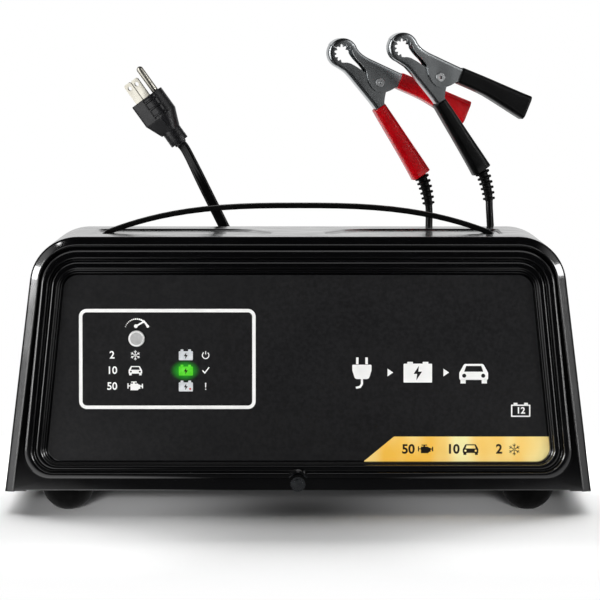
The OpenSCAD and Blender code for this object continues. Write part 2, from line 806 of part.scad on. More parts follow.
module circuit_breaker() {
    color("#303236") translate([breaker_x, breaker_y, floor_z]) difference() {
        union() {
            translate([-breaker_size.x / 2, -breaker_size.y / 2, 0]) cube(breaker_size);
            translate([-30, -6, 0]) cube([60, 12, breaker_foot_t]);
            for (i = [-1, 1]) translate([i * terminal_x, 0, breaker_size.z]) cylinder(h = 4, r = 2.5);
        }
        for (i = [-1, 1]) translate([i * breaker_screw_x, 0, -1])
            cylinder(h = breaker_foot_t + 2, r = screw_hole_r);
    }
}

// A wire that runs straight from point to point, with round elbows and flat ends
module wire(points, r) {
    for (k = [0:len(points) - 2]) {
        run = points[k + 1] - points[k];
        translate(points[k]) rotate([0, acos(run.z / norm(run)), atan2(run.y, run.x)])
            cylinder(h = norm(run), r = r, $fn = 16);
    }
    for (k = [1:1:len(points) - 2]) translate(points[k]) sphere(r + 0.2, $fn = 24);
}

module mains_wires() {
    flange_top = coil_bottom + coil_height;
    terminal_z = floor_z + breaker_size.z + 4;
    bush_in = rear_y - panel_t - 8;
    color("#3a3a3a") {
        wire([[ac_exit_x, bush_in, exit_z], [ac_exit_x, bush_in - 4, exit_z], [ac_exit_x, 74, exit_z + 14],
              [breaker_x - terminal_x, 74, exit_z + 14],
              [breaker_x - terminal_x, breaker_y, exit_z],
              [breaker_x - terminal_x, breaker_y, terminal_z]], 1.6);
        wire([[breaker_x + terminal_x, breaker_y, terminal_z],
              [breaker_x + terminal_x, breaker_y, exit_z + 40],
              [transformer_x - 15, core_d / 2 + 10, exit_z + 40],
              [transformer_x - 15, core_d / 2 + 10, flange_top]], 1.6);
    }
}

module output_wires() {
    flange_top = coil_bottom + coil_height;
    sink_top = floor_z + sink_h;
    bush_in = rear_y - panel_t - 8;
    color("#8c2020") {
        wire([[transformer_x + 15, core_d / 2 + 10, flange_top],
              [transformer_x + 15, core_d / 2 + 10, exit_z + 34],
              [black_exit_x, bush_in - 12, exit_z + 14], [black_exit_x, bush_in - 4, exit_z],
              [black_exit_x, bush_in, exit_z]], 2);
        wire([[sink_x1 - 10, sink_y + 2, sink_top], [sink_x1 - 10, sink_y + 2, exit_z + 26],
              [red_exit_x, bush_in - 12, exit_z + 14], [red_exit_x, bush_in - 4, exit_z],
              [red_exit_x, bush_in, exit_z]], 1.9);
        for (k = [0, 1])
            wire([[transformer_x - 6 + 12 * k, -core_d / 2 - 10, flange_top],
                  [transformer_x - 6 + 12 * k, -core_d / 2 - 10, exit_z + 24 + 8 * k],
                  [diodes[1 - k], -core_d / 2 - 10, exit_z + 24 + 8 * k],
                  [diodes[1 - k], -core_d / 2 - 10, diode_z],
                  [diodes[1 - k], sink_y - diode_h - 6, diode_z]], 1.6);
    }
}

// ---- Leads ----

// A strain relief in a panel hole of radius r, with a ribbed tail that tapers to the lead
module bush(x, r, tail_r) {
    inside = rear_y - panel_t;
    tail = exit_y - rear_y;
    translate([x, 0, exit_z]) rotate([-90, 0, 0]) rotate_extrude() polygon(concat(
        [[0, inside - 8], [r - 1.5, inside - 8], [r + 1, inside - 2], [r + 1, inside], [r - 0.1, inside],
         [r - 0.1, rear_y], [r + 2.5, rear_y], [r + 2.5, rear_y + 2.5]],
        [for (k = [0:4]) for (s = [0, 1])
            [r + 0.5 - (r + 0.5 - tail_r) * (k + s / 2) / 5 - (s == 1 ? 0.8 : 0),
             rear_y + 2.5 + (tail - 3.5) * (k + s / 2) / 5]],
        [[tail_r, exit_y - 1], [tail_r, exit_y], [0, exit_y]]));
}

module mains_bush() { color("#151515") bush(ac_exit_x, 7.5, 4.8); }

module clamp_lead_bushes() {
    color("#151515") for (x = [red_exit_x, black_exit_x]) bush(x, 6.5, 3.6);
}

// Direction of a route at point i: along its first and last runs, and between its runs elsewhere
function along(route, i) =
    i == 0 ? unit(route[1] - route[0]) :
    i == len(route) - 1 ? unit(route[i] - route[i - 1]) :
    unit(unit(route[i + 1] - route[i]) + unit(route[i] - route[i - 1]));

// One ring of a tube, w wide and t thick, whose thin way lies nearest to the direction thin
function ring(at, dir, thin, w, t, sides) =
    let (n = unit(thin - (thin * dir) * dir), m = cross(dir, n))
    [for (s = [0:sides - 1]) at + m * (w / 2 * cos(360 * s / sides)) + n * (t / 2 * sin(360 * s / sides))];

module tube(rings) {
    sides = len(rings[0]);
    last = len(rings) - 1;
    polyhedron(
        points = [for (r = rings, p = r) p],
        faces = concat(
            [for (s = [1:sides - 2]) [0, s, s + 1]],
            [for (s = [1:sides - 2]) [last * sides, last * sides + s + 1, last * sides + s]],
            [for (k = [0:last - 1], s = [0:sides - 1], h = [0, 1])
                let (n = (s + 1) % sides, a = k * sides, b = a + sides)
                h == 0 ? [a + s, b + s, b + n] : [a + s, b + n, a + n]]),
        convexity = 10);
}

// A lead along a route. A flat lead's thin way turns from up to across where level is 1.
module lead(route, w, t, level) {
    last = len(route) - 1;
    tube([for (i = [0:last])
        let (f = level == 1 ? i / last : 1)
        ring(route[i], along(route, i), [0, f, 1 - f], w, t, 8)]);
}

// Centre line of a coil wound in two layers from its front tangent: in below, out above
function coil_point(c, a, turns, inner_r, pitch, layer, z0) =
    let (
        mid = turns * 180,
        off = a - mid,
        r = inner_r + pitch * abs(off) / 360,
        z = z0 + layer * min(1, max(0, (off + 90) / 180)),
        angle = a - 90
    )
    [c.x + r * cos(angle), c.y + r * sin(angle), z];

function coil_route(c, turns, inner_r, pitch, layer, z0, run) =
    let (
        count = turns * loop_rings,
        r = inner_r + pitch * turns / 2,
        in = [c.x, c.y - r, z0]
    )
    concat([in - [run, 0, 0]],
           [for (k = [0:count]) coil_point(c, 360 * k / loop_rings, turns, inner_r, pitch, layer, z0)],
           [in + [run, 0, layer]]);

module coil(c, turns, inner_r, pitch, layer, w, t) {
    route = coil_route(c, turns, inner_r, pitch, layer, w / 2, w);
    last = len(route) - 1;
    tube([for (i = [0:last])
        let (dir = i < 2 || i > last - 2 ? [1, 0, 0] : along(route, i))
        ring(route[i], dir, cross(dir, [0, 0, 1]), w, t, coil_sides)]);
}

// Least gap between the turns of a coil: its rings' points against those three quarters of a turn on
function least_gap(rings) =
    let (skip = floor(loop_rings * 3 / 4), n = len(rings))
    min([for (i = [0:n - 1 - skip]) for (k = [i + skip:min(n - 1, i + loop_rings + 6)])
        min([for (p = rings[i], q = rings[k]) norm(p - q)])]);

function coil_rings(c, turns, inner_r, pitch, layer, w, t) =
    let (route = coil_route(c, turns, inner_r, pitch, layer, w / 2, w), last = len(route) - 1)
    [for (i = [1:last - 1])
        let (dir = i < 2 || i > last - 2 ? [1, 0, 0] : along(route, i))
        ring(route[i], dir, cross(dir, [0, 0, 1]), w, t, coil_sides)];

ac_centre = [ac_coil_x, ac_line_y + ac_coil_r];
red_centre = [red_coil_x, dc_line_y + dc_coil_r];
black_centre = [black_coil_x, dc_line_y + dc_coil_r];

module ac_drop() { color("#303032") lead(ac_drop_route, ac_w, ac_t, 1); }
module ac_coil() {
    color("#303032") coil(ac_centre, ac_turns, ac_inner_r, ac_pitch, ac_layer, ac_w, ac_t);
}
module ac_rise() { color("#303032") lead(ac_rise_route, ac_w, ac_t, 0); }

module red_drop() { color("#202022") lead(red_drop_route, dc_d, dc_d, 1); }
module red_coil() {
    color("#202022") coil(red_centre, dc_turns, dc_inner_r, dc_pitch, dc_layer, dc_d, dc_d);
}
module red_rise() { color("#202022") lead(red_rise_route, dc_d, dc_d, 0); }

module black_drop() { color("#202022") lead(black_drop_route, dc_d, dc_d, 1); }
module black_coil() {
    color("#202022") coil(black_centre, dc_turns, dc_inner_r, dc_pitch, dc_layer, dc_d, dc_d);
}
module black_rise() { color("#202022") lead(black_rise_route, dc_d, dc_d, 0); }

// ---- Plug ----

// Puts a child, drawn along +Z from the lead's end, where the plug stands
module at_plug() {
    translate(plug_at) rotate([0, plug_tilt, 0]) rotate([0, 0, plug_turn]) children();
}

function plug_outline(k) =
    let (half = plug_half_t * k)
    concat(
        soften([[3.2 * k, half], [-10.5 * k, half], [-10.5 * k, -half], [3.2 * k, -half]],
               [0, 2.5 * k, 2.5 * k, 0], 3),
        [for (a = [-75:15:75]) [3.2 * k + half * cos(a), half * sin(a)]]);

module plug_body() {
    body_z = plug_collar_l + plug_taper_l;
    color("#2c2c2e") at_plug() {
        cylinder(h = plug_collar_l, r = 6.2);
        for (z = [0, 3.4, 6.8]) translate([0, 0, z]) cylinder(h = 2, r = 6.9);
        hull() {
            translate([0, 0, plug_collar_l - 0.1]) linear_extrude(0.1) polygon(plug_outline(0.6));
            translate([0, 0, body_z]) linear_extrude(0.1) polygon(plug_outline(1));
        }
        translate([0, 0, body_z]) linear_extrude(plug_body_l) polygon(plug_outline(1));
    }
}

module plug_pins() {
    color("#cfc5ae") at_plug() translate([0, 0, plug_length]) {
        for (i = [-1, 1]) translate([blade_x, i * blade_pitch / 2, 0]) difference() {
            translate([-blade_w / 2, -blade_t / 2, 0]) cube([blade_w, blade_t, blade_l]);
            translate([0, 0, blade_l - blade_hole_at]) rotate([90, 0, 0])
                cylinder(h = blade_t + 2, r = blade_hole_d / 2, center = true);
            for (k = [-1, 1]) translate([k * blade_w / 2, 0, blade_l]) rotate([0, 45, 0])
                cube([1.6, blade_t + 2, 1.6], center = true);
        }
        translate([blade_x + ground_offset, 0, 0]) {
            cylinder(h = ground_pin_l - ground_pin_d / 2, r = ground_pin_d / 2);
            translate([0, 0, ground_pin_l - ground_pin_d / 2]) sphere(ground_pin_d / 2);
        }
    }
}

// ---- Clamps. Each is drawn in x and z about its rivet, with its channels across y. ----

module at_clamp(at) { translate(at) rotate([0, 0, clamp_yaw]) children(); }

function heading(a) = [cos(a), sin(a)];
function place(at, a, u, v) = at + u * [cos(a), sin(a)] + v * [-sin(a), cos(a)];
function clamp_point(at, p) =
    at + [p.x * cos(clamp_yaw), p.x * sin(clamp_yaw), p.y];

// The boot's ribs: their lean goes from boot_bend_from to boot_bend_to
function boot_lean(k) = boot_bend_from + (boot_bend_to - boot_bend_from) * k / (boot_ribs - 1);
function boot_point(k) =
    k == 0 ? boot_neck : boot_point(k - 1) + boot_pitch * [sin(boot_lean(k - 1)), -cos(boot_lean(k - 1))];
function boot_axis() =
    let (a = boot_lean(boot_ribs - 1))
    [sin(a) * cos(clamp_yaw), sin(a) * sin(clamp_yaw), -cos(a)];

function head_point(a, r) = head_at + r * [cos(a), sin(a)];

// The mouth's toothed edge between two angles
function teeth(a0, a1) =
    [for (t = tooth_angles) if (t > a0 && t < a1) each
        [head_point(t - 11, mouth_r), head_point(t, mouth_r - tooth_h), head_point(t + 11, mouth_r)]];

function reversed(pts) = [for (k = [len(pts) - 1:-1:0]) pts[k]];

// A line of points moved sideways by d, to the right of its direction
function beside(pts, d) =
    let (n = len(pts))
    [for (i = [0:n - 1])
        let (
            a = i == 0 ? unit(pts[1] - pts[0]) : unit(pts[i] - pts[i - 1]),
            b = i == n - 1 ? a : unit(pts[i + 1] - pts[i]),
            m = unit(a + b)
        )
        pts[i] + d / (m * b) * [m.y, -m.x]];

upper_back = concat(
    [for (a = [tips_at + 8:-16:18]) head_point(a, head_r)],
    [[-12.5, 19.5], place(upper_at, upper_angle, 0, 5.6), place(upper_at, upper_angle, handle_l, 5.6)]);
upper_outline = concat(
    upper_back,
    [place(upper_at, upper_angle, handle_l, -7.4), place(upper_at, upper_angle, 26, -3.2),
     place(upper_at, upper_angle, 0, -3.8), [6.5, -6.5], [0, -7.6], [-4.8, -5.2], [-7.9, -0.4],
     [-9.4, 3.8], [-9.8, 8.4], [-12.2, 12], [-17.3, 17], [-19.7, 20.6]],
    teeth(0, tips_at), [head_point(tips_at + 4, mouth_r)]);

lower_back = concat(
    [for (a = [tips_at + 11:14:tips_at + 110]) head_point(a, head_r)],
    [[-26.8, 8.8], [-23.5, 6.7], place(lower_at, lower_angle, 0, -3.1),
     place(lower_at, lower_angle, handle_l, -4.9)]);
lower_outline = concat(
    lower_back,
    [place(lower_at, lower_angle, handle_l, 4.9), place(lower_at, lower_angle, 0, 3.1), [4.3, -9],
     [5.4, -5.5], [6.4, 0], [4.6, 4.8], [0, 6.6], [-5, 6.4], [-10.3, 7], [-16.6, 11.3], [-22.4, 14.4],
     [-26.8, 14.2]],
    reversed(teeth(tips_at, 270)), [head_point(tips_at + 7, mouth_r)]);

// A jaw: two toothed side plates and the web along its back
module jaw(outline, web, w, hole_r) {
    difference() {
        union() {
            for (y = [-w / 2, w / 2 - jaw_t]) slab(y, y + jaw_t) polygon(outline);
            slab(-w / 2, w / 2) polygon(web);
        }
        slab(-w, w) circle(hole_r);
    }
}

module moving_jaw() {
    color("#5a5d5f")
        jaw(upper_outline, concat(upper_back, reversed(beside(upper_back, jaw_t))), jaw_w,
            rivet_d / 2 + rivet_gap);
}

module fixed_jaw() {
    color("#5a5d5f")
        jaw(lower_outline, concat(lower_back, reversed(beside(lower_back, -jaw_t))), inner_w, rivet_d / 2);
}

module rivet() {
    color("#c9cbce") difference() {
        slab(-jaw_w / 2 - 0.9, jaw_w / 2 + 0.9) circle(rivet_d / 2);
        slab(-jaw_w, jaw_w) circle(rivet_d / 4);
    }
    for (y = [-jaw_w / 2 - 0.95, jaw_w / 2 + 0.05])
        color("#c9cbce") slab(y, y + 0.9) difference() {
            circle(rivet_head_d / 2);
            circle(rivet_d / 4);
        }
}

// A torsion spring round the rivet, inside the fixed jaw's channel
module jaw_spring() {
    half = inner_w / 2 - jaw_t - 0.3;
    color("#8f9296") {
        slab(-half, half) difference() {
            circle(rivet_d / 2 + 2);
            circle(rivet_d / 2 + 0.3);
        }
        wire([[-3.2, half - 1.2, -1], [0, half - 1.2, -15]], 0.8);
        wire([[0, 1.2 - half, 3.2], [8.4, 1.2 - half, 3.6]], 0.8);
    }
}

// A sleeve over a jaw's handle: edge holds the grip's outline as distances along and across it
function grip_outline(at, angle, top, bottom, d) = [for (p = concat(
    [[0, top[0] + d], [handle_l + d, top[1] + d]], [[handle_l + d, bottom[2] - d], [26, bottom[1] - d]],
    [[0, bottom[0] - d]])) place(at, angle, p.x, p.y)];

module grip(at, angle, top, bottom, w) {
    d = grip_gap + grip_t;
    closed = grip_l - handle_l - grip_gap;
    difference() {
        slab(-w / 2 - d, w / 2 + d) union() {
            polygon(grip_outline(at, angle, top, bottom, d));
            polygon([place(at, angle, handle_l, top[1] + d), place(at, angle, grip_l, top[1] + d + 0.3),
                     place(at, angle, grip_l, bottom[2] - d - 0.3),
                     place(at, angle, handle_l, bottom[2] - d)]);
        }
        slab(-w / 2 - grip_gap, w / 2 + grip_gap) {
            polygon(grip_outline(at, angle, top, bottom, grip_gap));
            polygon([place(at, angle, -6, top[0] + grip_gap), place(at, angle, 0.5, top[0] + grip_gap),
                     place(at, angle, 0.5, bottom[0] - grip_gap),
                     place(at, angle, -6, bottom[0] - grip_gap)]);
        }
    }
}

module moving_grip() { grip(upper_at, upper_angle, [5.6, 5.6], [-3.8, -3.2, -7.4], jaw_w); }
module fixed_grip() { grip(lower_at, lower_angle, [3.1, 4.9], [-3.1, -4, -4.9], inner_w); }

module boot() {
    color("#161616") {
        translate([boot_start.x, 0, boot_start.y]) rotate([0, 90 - lower_angle, 0])
            cylinder(h = boot_collar, r = 4.6);
        for (k = [0:boot_ribs - 1])
            translate([boot_point(k).x, 0, boot_point(k).y]) rotate([0, 180 - boot_lean(k), 0]) {
                if (k > 0) sphere(3.7);
                translate([0, 0, k == 0 ? -0.5 : 0]) cylinder(h = boot_pitch + (k == 0 ? 0.5 : 0), r = 3.4);
                translate([0, 0, 1.1]) cylinder(h = 1.5, r = 5.4);
            }
    }
}

module red_fixed_jaw() { at_clamp(red_at) fixed_jaw(); }
module red_moving_jaw() { at_clamp(red_at) moving_jaw(); }
module red_rivet() { at_clamp(red_at) rivet(); }
module red_spring() { at_clamp(red_at) jaw_spring(); }
module red_fixed_grip() { color("#b8161e") at_clamp(red_at) fixed_grip(); }
module red_moving_grip() { color("#b8161e") at_clamp(red_at) moving_grip(); }
module red_boot() { at_clamp(red_at) boot(); }
module black_fixed_jaw() { at_clamp(black_at) fixed_jaw(); }
module black_moving_jaw() { at_clamp(black_at) moving_jaw(); }
module black_rivet() { at_clamp(black_at) rivet(); }
module black_spring() { at_clamp(black_at) jaw_spring(); }
module black_fixed_grip() { color("#202022") at_clamp(black_at) fixed_grip(); }
module black_moving_grip() { color("#202022") at_clamp(black_at) moving_grip(); }
module black_boot() { at_clamp(black_at) boot(); }

echo(mains_coil_gap = least_gap(coil_rings(ac_centre, ac_turns, ac_inner_r, ac_pitch, ac_layer, ac_w, ac_t)));
echo(clamp_coil_gap =
    least_gap(coil_rings(red_centre, dc_turns, dc_inner_r, dc_pitch, dc_layer, dc_d, dc_d)));

cover();
front_panel();
rear_panel();
base_pan();
control_label();
front_screw();
rear_screws();
cover_screws();
chassis_screws();
foot_front_left();
foot_front_right();
foot_rear_left();
foot_rear_right();
foot_screws();
carrying_strap();
rate_button();
rate_switch();
indicator_lenses();
led_lamps();
control_board();
board_standoffs();
board_screws();
relay();
transformer_core();
transformer_frame();
bobbin();
primary_winding();
secondary_winding();
heat_sink();
rectifier_diodes();
circuit_breaker();
mains_wires();
output_wires();
mains_bush();
clamp_lead_bushes();
ac_drop();
ac_coil();
ac_rise();
plug_body();
plug_pins();
red_drop();
red_coil();
red_rise();
black_drop();
black_coil();
black_rise();
red_fixed_jaw();
red_moving_jaw();
red_rivet();
red_spring();
red_fixed_grip();
red_moving_grip();
red_boot();
black_fixed_jaw();
black_moving_jaw();
black_rivet();
black_spring();
black_fixed_grip();
black_moving_grip();
black_boot();
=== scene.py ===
# A car battery charger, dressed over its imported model: enamelled sheet steel case with a printed
# front panel, nylon carrying strap, mains lead with its plug, and two clamp leads.
# Sizes in the dictionaries are millimetres, and Blender works in metres.
import math

import bmesh
import bpy
from mathutils import Matrix, Vector


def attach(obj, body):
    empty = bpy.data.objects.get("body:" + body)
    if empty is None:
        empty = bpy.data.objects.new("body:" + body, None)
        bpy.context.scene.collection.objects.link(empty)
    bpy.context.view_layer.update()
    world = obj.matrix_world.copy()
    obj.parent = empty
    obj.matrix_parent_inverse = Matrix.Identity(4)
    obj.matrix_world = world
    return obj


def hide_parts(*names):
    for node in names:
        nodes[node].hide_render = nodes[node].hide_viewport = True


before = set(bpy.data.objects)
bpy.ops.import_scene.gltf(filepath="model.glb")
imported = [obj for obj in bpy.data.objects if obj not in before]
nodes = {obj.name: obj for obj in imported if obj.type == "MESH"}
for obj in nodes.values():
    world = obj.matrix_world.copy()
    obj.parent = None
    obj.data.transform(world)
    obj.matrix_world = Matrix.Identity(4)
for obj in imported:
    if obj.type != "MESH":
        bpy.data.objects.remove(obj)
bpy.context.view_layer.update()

scene = bpy.context.scene
print("model loaded:", len(nodes), "nodes")


# small helpers
def toLinear(hexColour):
    parts = [int(hexColour[i:i + 2], 16) / 255 for i in (1, 3, 5)]
    return tuple(c / 12.92 if c <= 0.04045 else ((c + 0.055) / 1.055) ** 2.4 for c in parts) + (1.0,)


def addNode(tree, kind, settings=None, links=None):
    node = tree.nodes.new(kind)
    for key, value in (settings or {}).items():
        if isinstance(key, str) and hasattr(node, key):
            setattr(node, key, value)
        else:
            node.inputs[key].default_value = value
    for key, source in (links or {}).items():
        tree.links.new(source, node.inputs[key])
    return node


def addPiece(name, points, faces, material, body="root", sharpAngle=40):
    data = bpy.data.meshes.new(name)
    data.from_pydata([(x * 0.001, y * 0.001, z * 0.001) for x, y, z in points], [], faces)
    mesh = bmesh.new()
    mesh.from_mesh(data)
    bmesh.ops.recalc_face_normals(mesh, faces=mesh.faces)
    mesh.to_mesh(data)
    mesh.free()
    data.polygons.foreach_set("use_smooth", [True] * len(data.polygons))
    data.set_sharp_from_angle(angle=math.radians(sharpAngle))
    data.materials.append(material)
    piece = bpy.data.objects.new(name, data)
    scene.collection.objects.link(piece)
    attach(piece, body)
    return piece


def modify(piece, label, kind, settings):
    modifier = piece.modifiers.new(label, kind)
    for key, value in settings.items():
        setattr(modifier, key, value)


def applyModifiers(piece, sharpAngle):
    bpy.context.view_layer.update()
    whole = bpy.data.meshes.new_from_object(piece.evaluated_get(bpy.context.evaluated_depsgraph_get()))
    piece.modifiers.clear()
    piece.data = whole
    whole.polygons.foreach_set("use_smooth", [True] * len(whole.polygons))
    whole.set_sharp_from_angle(angle=math.radians(sharpAngle))


def loftFaces(ringCount, size, capStart=True, capEnd=True):
    # quads between rings of so many points, and a face on the first and the last ring
    faces = [(k * size + s, k * size + (s + 1) % size, (k + 1) * size + (s + 1) % size, (k + 1) * size + s)
             for k in range(ringCount - 1) for s in range(size)]
    if capStart:
        faces.append(tuple(range(size)))
    if capEnd:
        faces.append(tuple(range((ringCount - 1) * size, ringCount * size)))
    return faces


def roundedOutline(corners, radii, steps):
    # an outline with its own radius at each corner
    points = []
    count = len(corners)
    for i, (corner, radius) in enumerate(zip(corners, radii)):
        p = Vector(corner)
        u = (Vector(corners[i - 1]) - p).normalized()
        v = (Vector(corners[(i + 1) % count]) - p).normalized()
        half = math.acos(max(-1, min(1, u.dot(v)))) / 2
        radius = max(radius, 0.05)
        centre = p + (u + v).normalized() * radius / math.sin(half)
        start = p + u * radius / math.tan(half) - centre
        turn = (math.pi - 2 * half) * (-1 if u.x * v.y - u.y * v.x > 0 else 1)
        for k in range(steps + 1):
            a = math.atan2(start.y, start.x) + turn * k / steps
            points.append((centre.x + radius * math.cos(a), centre.y + radius * math.sin(a)))
    return points


def smoothPath(points, perRun):
    # a Catmull-Rom curve through the points
    path = []
    pts = [Vector(p) for p in points]
    for i in range(len(pts) - 1):
        a, b, c, d = pts[max(i - 1, 0)], pts[i], pts[i + 1], pts[min(i + 2, len(pts) - 1)]
        for k in range(perRun):
            t = k / perRun
            path.append(0.5 * ((2 * b) + (c - a) * t + (2 * a - 5 * b + 4 * c - d) * t * t
                               + (3 * b - a - 3 * c + d) * t * t * t))
    return path + [pts[-1]]


def pathDirections(path):
    runs = [(path[i + 1] - path[i]).normalized() for i in range(len(path) - 1)]
    return [runs[0]] + [(runs[i] + runs[i + 1]).normalized() for i in range(len(runs) - 1)] + [runs[-1]]


def sweep(name, path, section, material, body="root", thinWays=None, scales=None, sharpAngle=40):
    # a section drawn across the path: its x lies across, its y along the thin way
    directions = pathDirections(path)
    points = []
    side = None
    for i, (at, way) in enumerate(zip(path, directions)):
        if thinWays:
            thin = (thinWays[i] - thinWays[i].dot(way) * way).normalized()
        elif side is None:
            thin = (Vector((0, 0, 1)) if abs(way.z) < 0.9 else Vector((0, 1, 0)))
            thin = (thin - thin.dot(way) * way).normalized()
        else:
            thin = (side - side.dot(way) * way).normalized()
        side = thin
        across = way.cross(thin)
        scale = scales[i] if scales else 1
        points += [at + across * x * scale + thin * y * scale for x, y in section]
    return addPiece(name, points, loftFaces(len(path), len(section)), material, body, sharpAngle)


def circle(radius, sides):
    return [(radius * math.cos(2 * math.pi * k / sides), radius * math.sin(2 * math.pi * k / sides))
            for k in range(sides)]


def turned(name, profile, axisFrom, axisWay, material, sides, sharpAngle, body="root"):
    # a profile of (radius, distance along the axis), turned about the axis
    way = Vector(axisWay).normalized()
    across = way.orthogonal().normalized()
    other = way.cross(across)
    points = []
    for radius, along in profile:
        for x, y in circle(max(radius, 0.01), sides):
            points.append(Vector(axisFrom) + way * along + across * x + other * y)
    return addPiece(name, points, loftFaces(len(profile), sides), material, body, sharpAngle)


def joined(name, pieces):
    # the first piece takes in the others' meshes
    mesh = bmesh.new()
    for piece in pieces:
        mesh.from_mesh(piece.data)
    whole = bpy.data.meshes.new(name)
    mesh.to_mesh(whole)
    mesh.free()
    whole.materials.append(pieces[0].data.materials[0])
    pieces[0].data = whole
    pieces[0].name = name
    for piece in pieces[1:]:
        bpy.data.objects.remove(piece)
    return pieces[0]


# materials, each named for what the real surface is and how it was made
def surface(name, look):
    # look: base and second colours that patches of so many mm mix, a roughness range, and bumps of
    # (mm, depth in mm, stretch)
    material = bpy.data.materials.new(name)
    material.use_nodes = True
    tree = material.node_tree
    shader = tree.nodes["Principled BSDF"]
    for socket, value in look.get("shader", {}).items():
        shader.inputs[socket].default_value = value
    place = addNode(tree, "ShaderNodeTexCoord").outputs["Object"]
    stretched = addNode(tree, "ShaderNodeMapping", {"Scale": look.get("stretch", (1, 1, 1))},
                        {"Vector": place}).outputs["Vector"]
    patches = addNode(tree, "ShaderNodeTexNoise",
                      {"Scale": 1000 / look["patch"], "Detail": look.get("detail", 2.5), "Roughness": 0.5},
                      {"Vector": stretched})
    mix = addNode(tree, "ShaderNodeValToRGB", links={"Fac": patches.outputs["Fac"]})
    mix.color_ramp.elements[0].position = 0.34
    mix.color_ramp.elements[1].position = 0.68
    mix.color_ramp.elements[0].color = toLinear(look["base"])
    mix.color_ramp.elements[1].color = toLinear(look["second"])
    tree.links.new(mix.outputs["Color"], shader.inputs["Base Color"])
    smears = addNode(tree, "ShaderNodeTexNoise",
                     {"Scale": 1000 / look.get("smear", look["patch"] * 0.6), "Detail": 2},
                     {"Vector": stretched})
    rough = addNode(tree, "ShaderNodeMapRange",
                    {"From Min": 0.3, "From Max": 0.7, "To Min": look["rough"][0],
                     "To Max": look["rough"][1]}, {"Value": smears.outputs["Fac"]})
    tree.links.new(rough.outputs["Result"], shader.inputs["Roughness"])
    heights = []
    for size, depth, stretch in look.get("bumps", []):
        scaled = addNode(tree, "ShaderNodeMapping", {"Scale": stretch}, {"Vector": place})
        heights.append((depth, addNode(tree, "ShaderNodeTexNoise", {"Scale": 1000 / size, "Detail": 1},
                                       {"Vector": scaled.outputs["Vector"]})))
    for bands in look.get("bands", []):
        # turns of wire or stacked sheets, one band each
        heights.append((bands["depth"], addNode(
            tree, "ShaderNodeTexWave",
            {"wave_type": "BANDS", "bands_direction": bands["way"],
             "Scale": 1000 / bands["mm"] / 20 * math.tau, "Distortion": bands["wander"]}, {"Vector": place})))
    below = {}
    for depth, height in heights:
        bump = addNode(tree, "ShaderNodeBump", {"Strength": 1.0, "Distance": depth * 0.001},
                       {"Height": height.outputs["Fac"]} | below)
        below = {"Normal": bump.outputs["Normal"]}
    if below:
        tree.links.new(below["Normal"], shader.inputs["Normal"])
    return material


even = (1, 1, 1)
# powder enamel, baked: deep gloss with the faint swell of the sprayed coat
blackEnamel = surface("black powder enamel, baked", {
    "base": "#020203", "second": "#050506", "patch": 60, "smear": 25, "rough": (0.12, 0.2),
    "shader": {"IOR": 1.5, "Coat Weight": 0.2, "Coat Roughness": 0.04},
    "bumps": [(14, 0.03, even), (4, 0.004, even)]})
# the same enamel sprayed thin on hidden sheets: duller and a little uneven
satinEnamel = surface("black enamel, thin coat", {
    "base": "#141416", "second": "#1E1E21", "patch": 40, "rough": (0.32, 0.5), "shader": {"IOR": 1.5},
    "bumps": [(3, 0.012, even)]})
# polycarbonate film, screen printed on its back: a fine velvet grain over flat charcoal, drawn coarser
# than the real 0.2 mm so that it shows
filmLook = {"base": "#161617", "second": "#1F1F20", "patch": 2.4, "detail": 2.0, "smear": 30,
            "rough": (0.42, 0.5), "shader": {"IOR": 1.585, "Specular IOR Level": 0.3},
            "bumps": [(2.4, 0.004, even)]}
printedFilm = surface("polycarbonate film, velvet", filmLook)
# the same film over the lit lamp, whose light spreads in it
litFilm = surface("polycarbonate film, lit from behind", filmLook)


def roundAbout(tree, at, reach):
    # the place on the panel as seen from one point, 1 long at its reach across and up
    return addNode(tree, "ShaderNodeMapping",
                   {"Location": (-at[0] / reach[0], 0, -at[1] / reach[1]),
                    "Scale": (1000 / reach[0], 0, 1000 / reach[1])},
                   {"Vector": addNode(tree, "ShaderNodeTexCoord").outputs["Object"]}).outputs["Vector"]


def addGlow(material, colour, at, reach, strength):
    # light that spreads in the film from one place and fades out at its reach
    tree = material.node_tree
    shader = tree.nodes["Principled BSDF"]
    ball = addNode(tree, "ShaderNodeTexGradient", {"gradient_type": "SPHERICAL"},
                   {"Vector": roundAbout(tree, at, reach)})
    fade = addNode(tree, "ShaderNodeMapRange",
                   {"interpolation_type": "SMOOTHSTEP", "From Max": 0.7, "To Max": strength},
                   {"Value": ball.outputs["Fac"]})
    shader.inputs["Emission Color"].default_value = toLinear(colour)
    tree.links.new(fade.outputs["Result"], shader.inputs["Emission Strength"])


# screen ink, opaque white: even, slightly glossy
whiteInk = surface("screen ink, white", {
    "base": "#F2F2F0", "second": "#FAFAF8", "patch": 20, "rough": (0.35, 0.42), "shader": {"IOR": 1.5},
    "bumps": [(4, 0.003, even)]})
# the same ink in light grey, printed thinner, so it mottles a little
greyInk = surface("screen ink, light grey", {
    "base": "#C9CDD0", "second": "#E3E6E8", "patch": 6, "rough": (0.35, 0.42), "shader": {"IOR": 1.5},
    "bumps": [(4, 0.003, even)]})
# black ink over the gold: warm, and duller than the white
darkInk = surface("screen ink, black", {
    "base": "#17120C", "second": "#1E1810", "patch": 20, "rough": (0.4, 0.5), "shader": {"IOR": 1.5},
    "bumps": [(4, 0.003, even)]})
# metallic ink under the film: soft lighter bands run along the stripe, a painted sheen of the metal
goldInk = surface("metallic ink, gold", {
    "base": "#FFC64C", "second": "#FFF5B0", "patch": 24, "detail": 1.0, "rough": (0.3, 0.4),
    "shader": {"IOR": 1.5}, "stretch": (1, 1, 0.45), "bumps": [(4, 0.003, even)]})
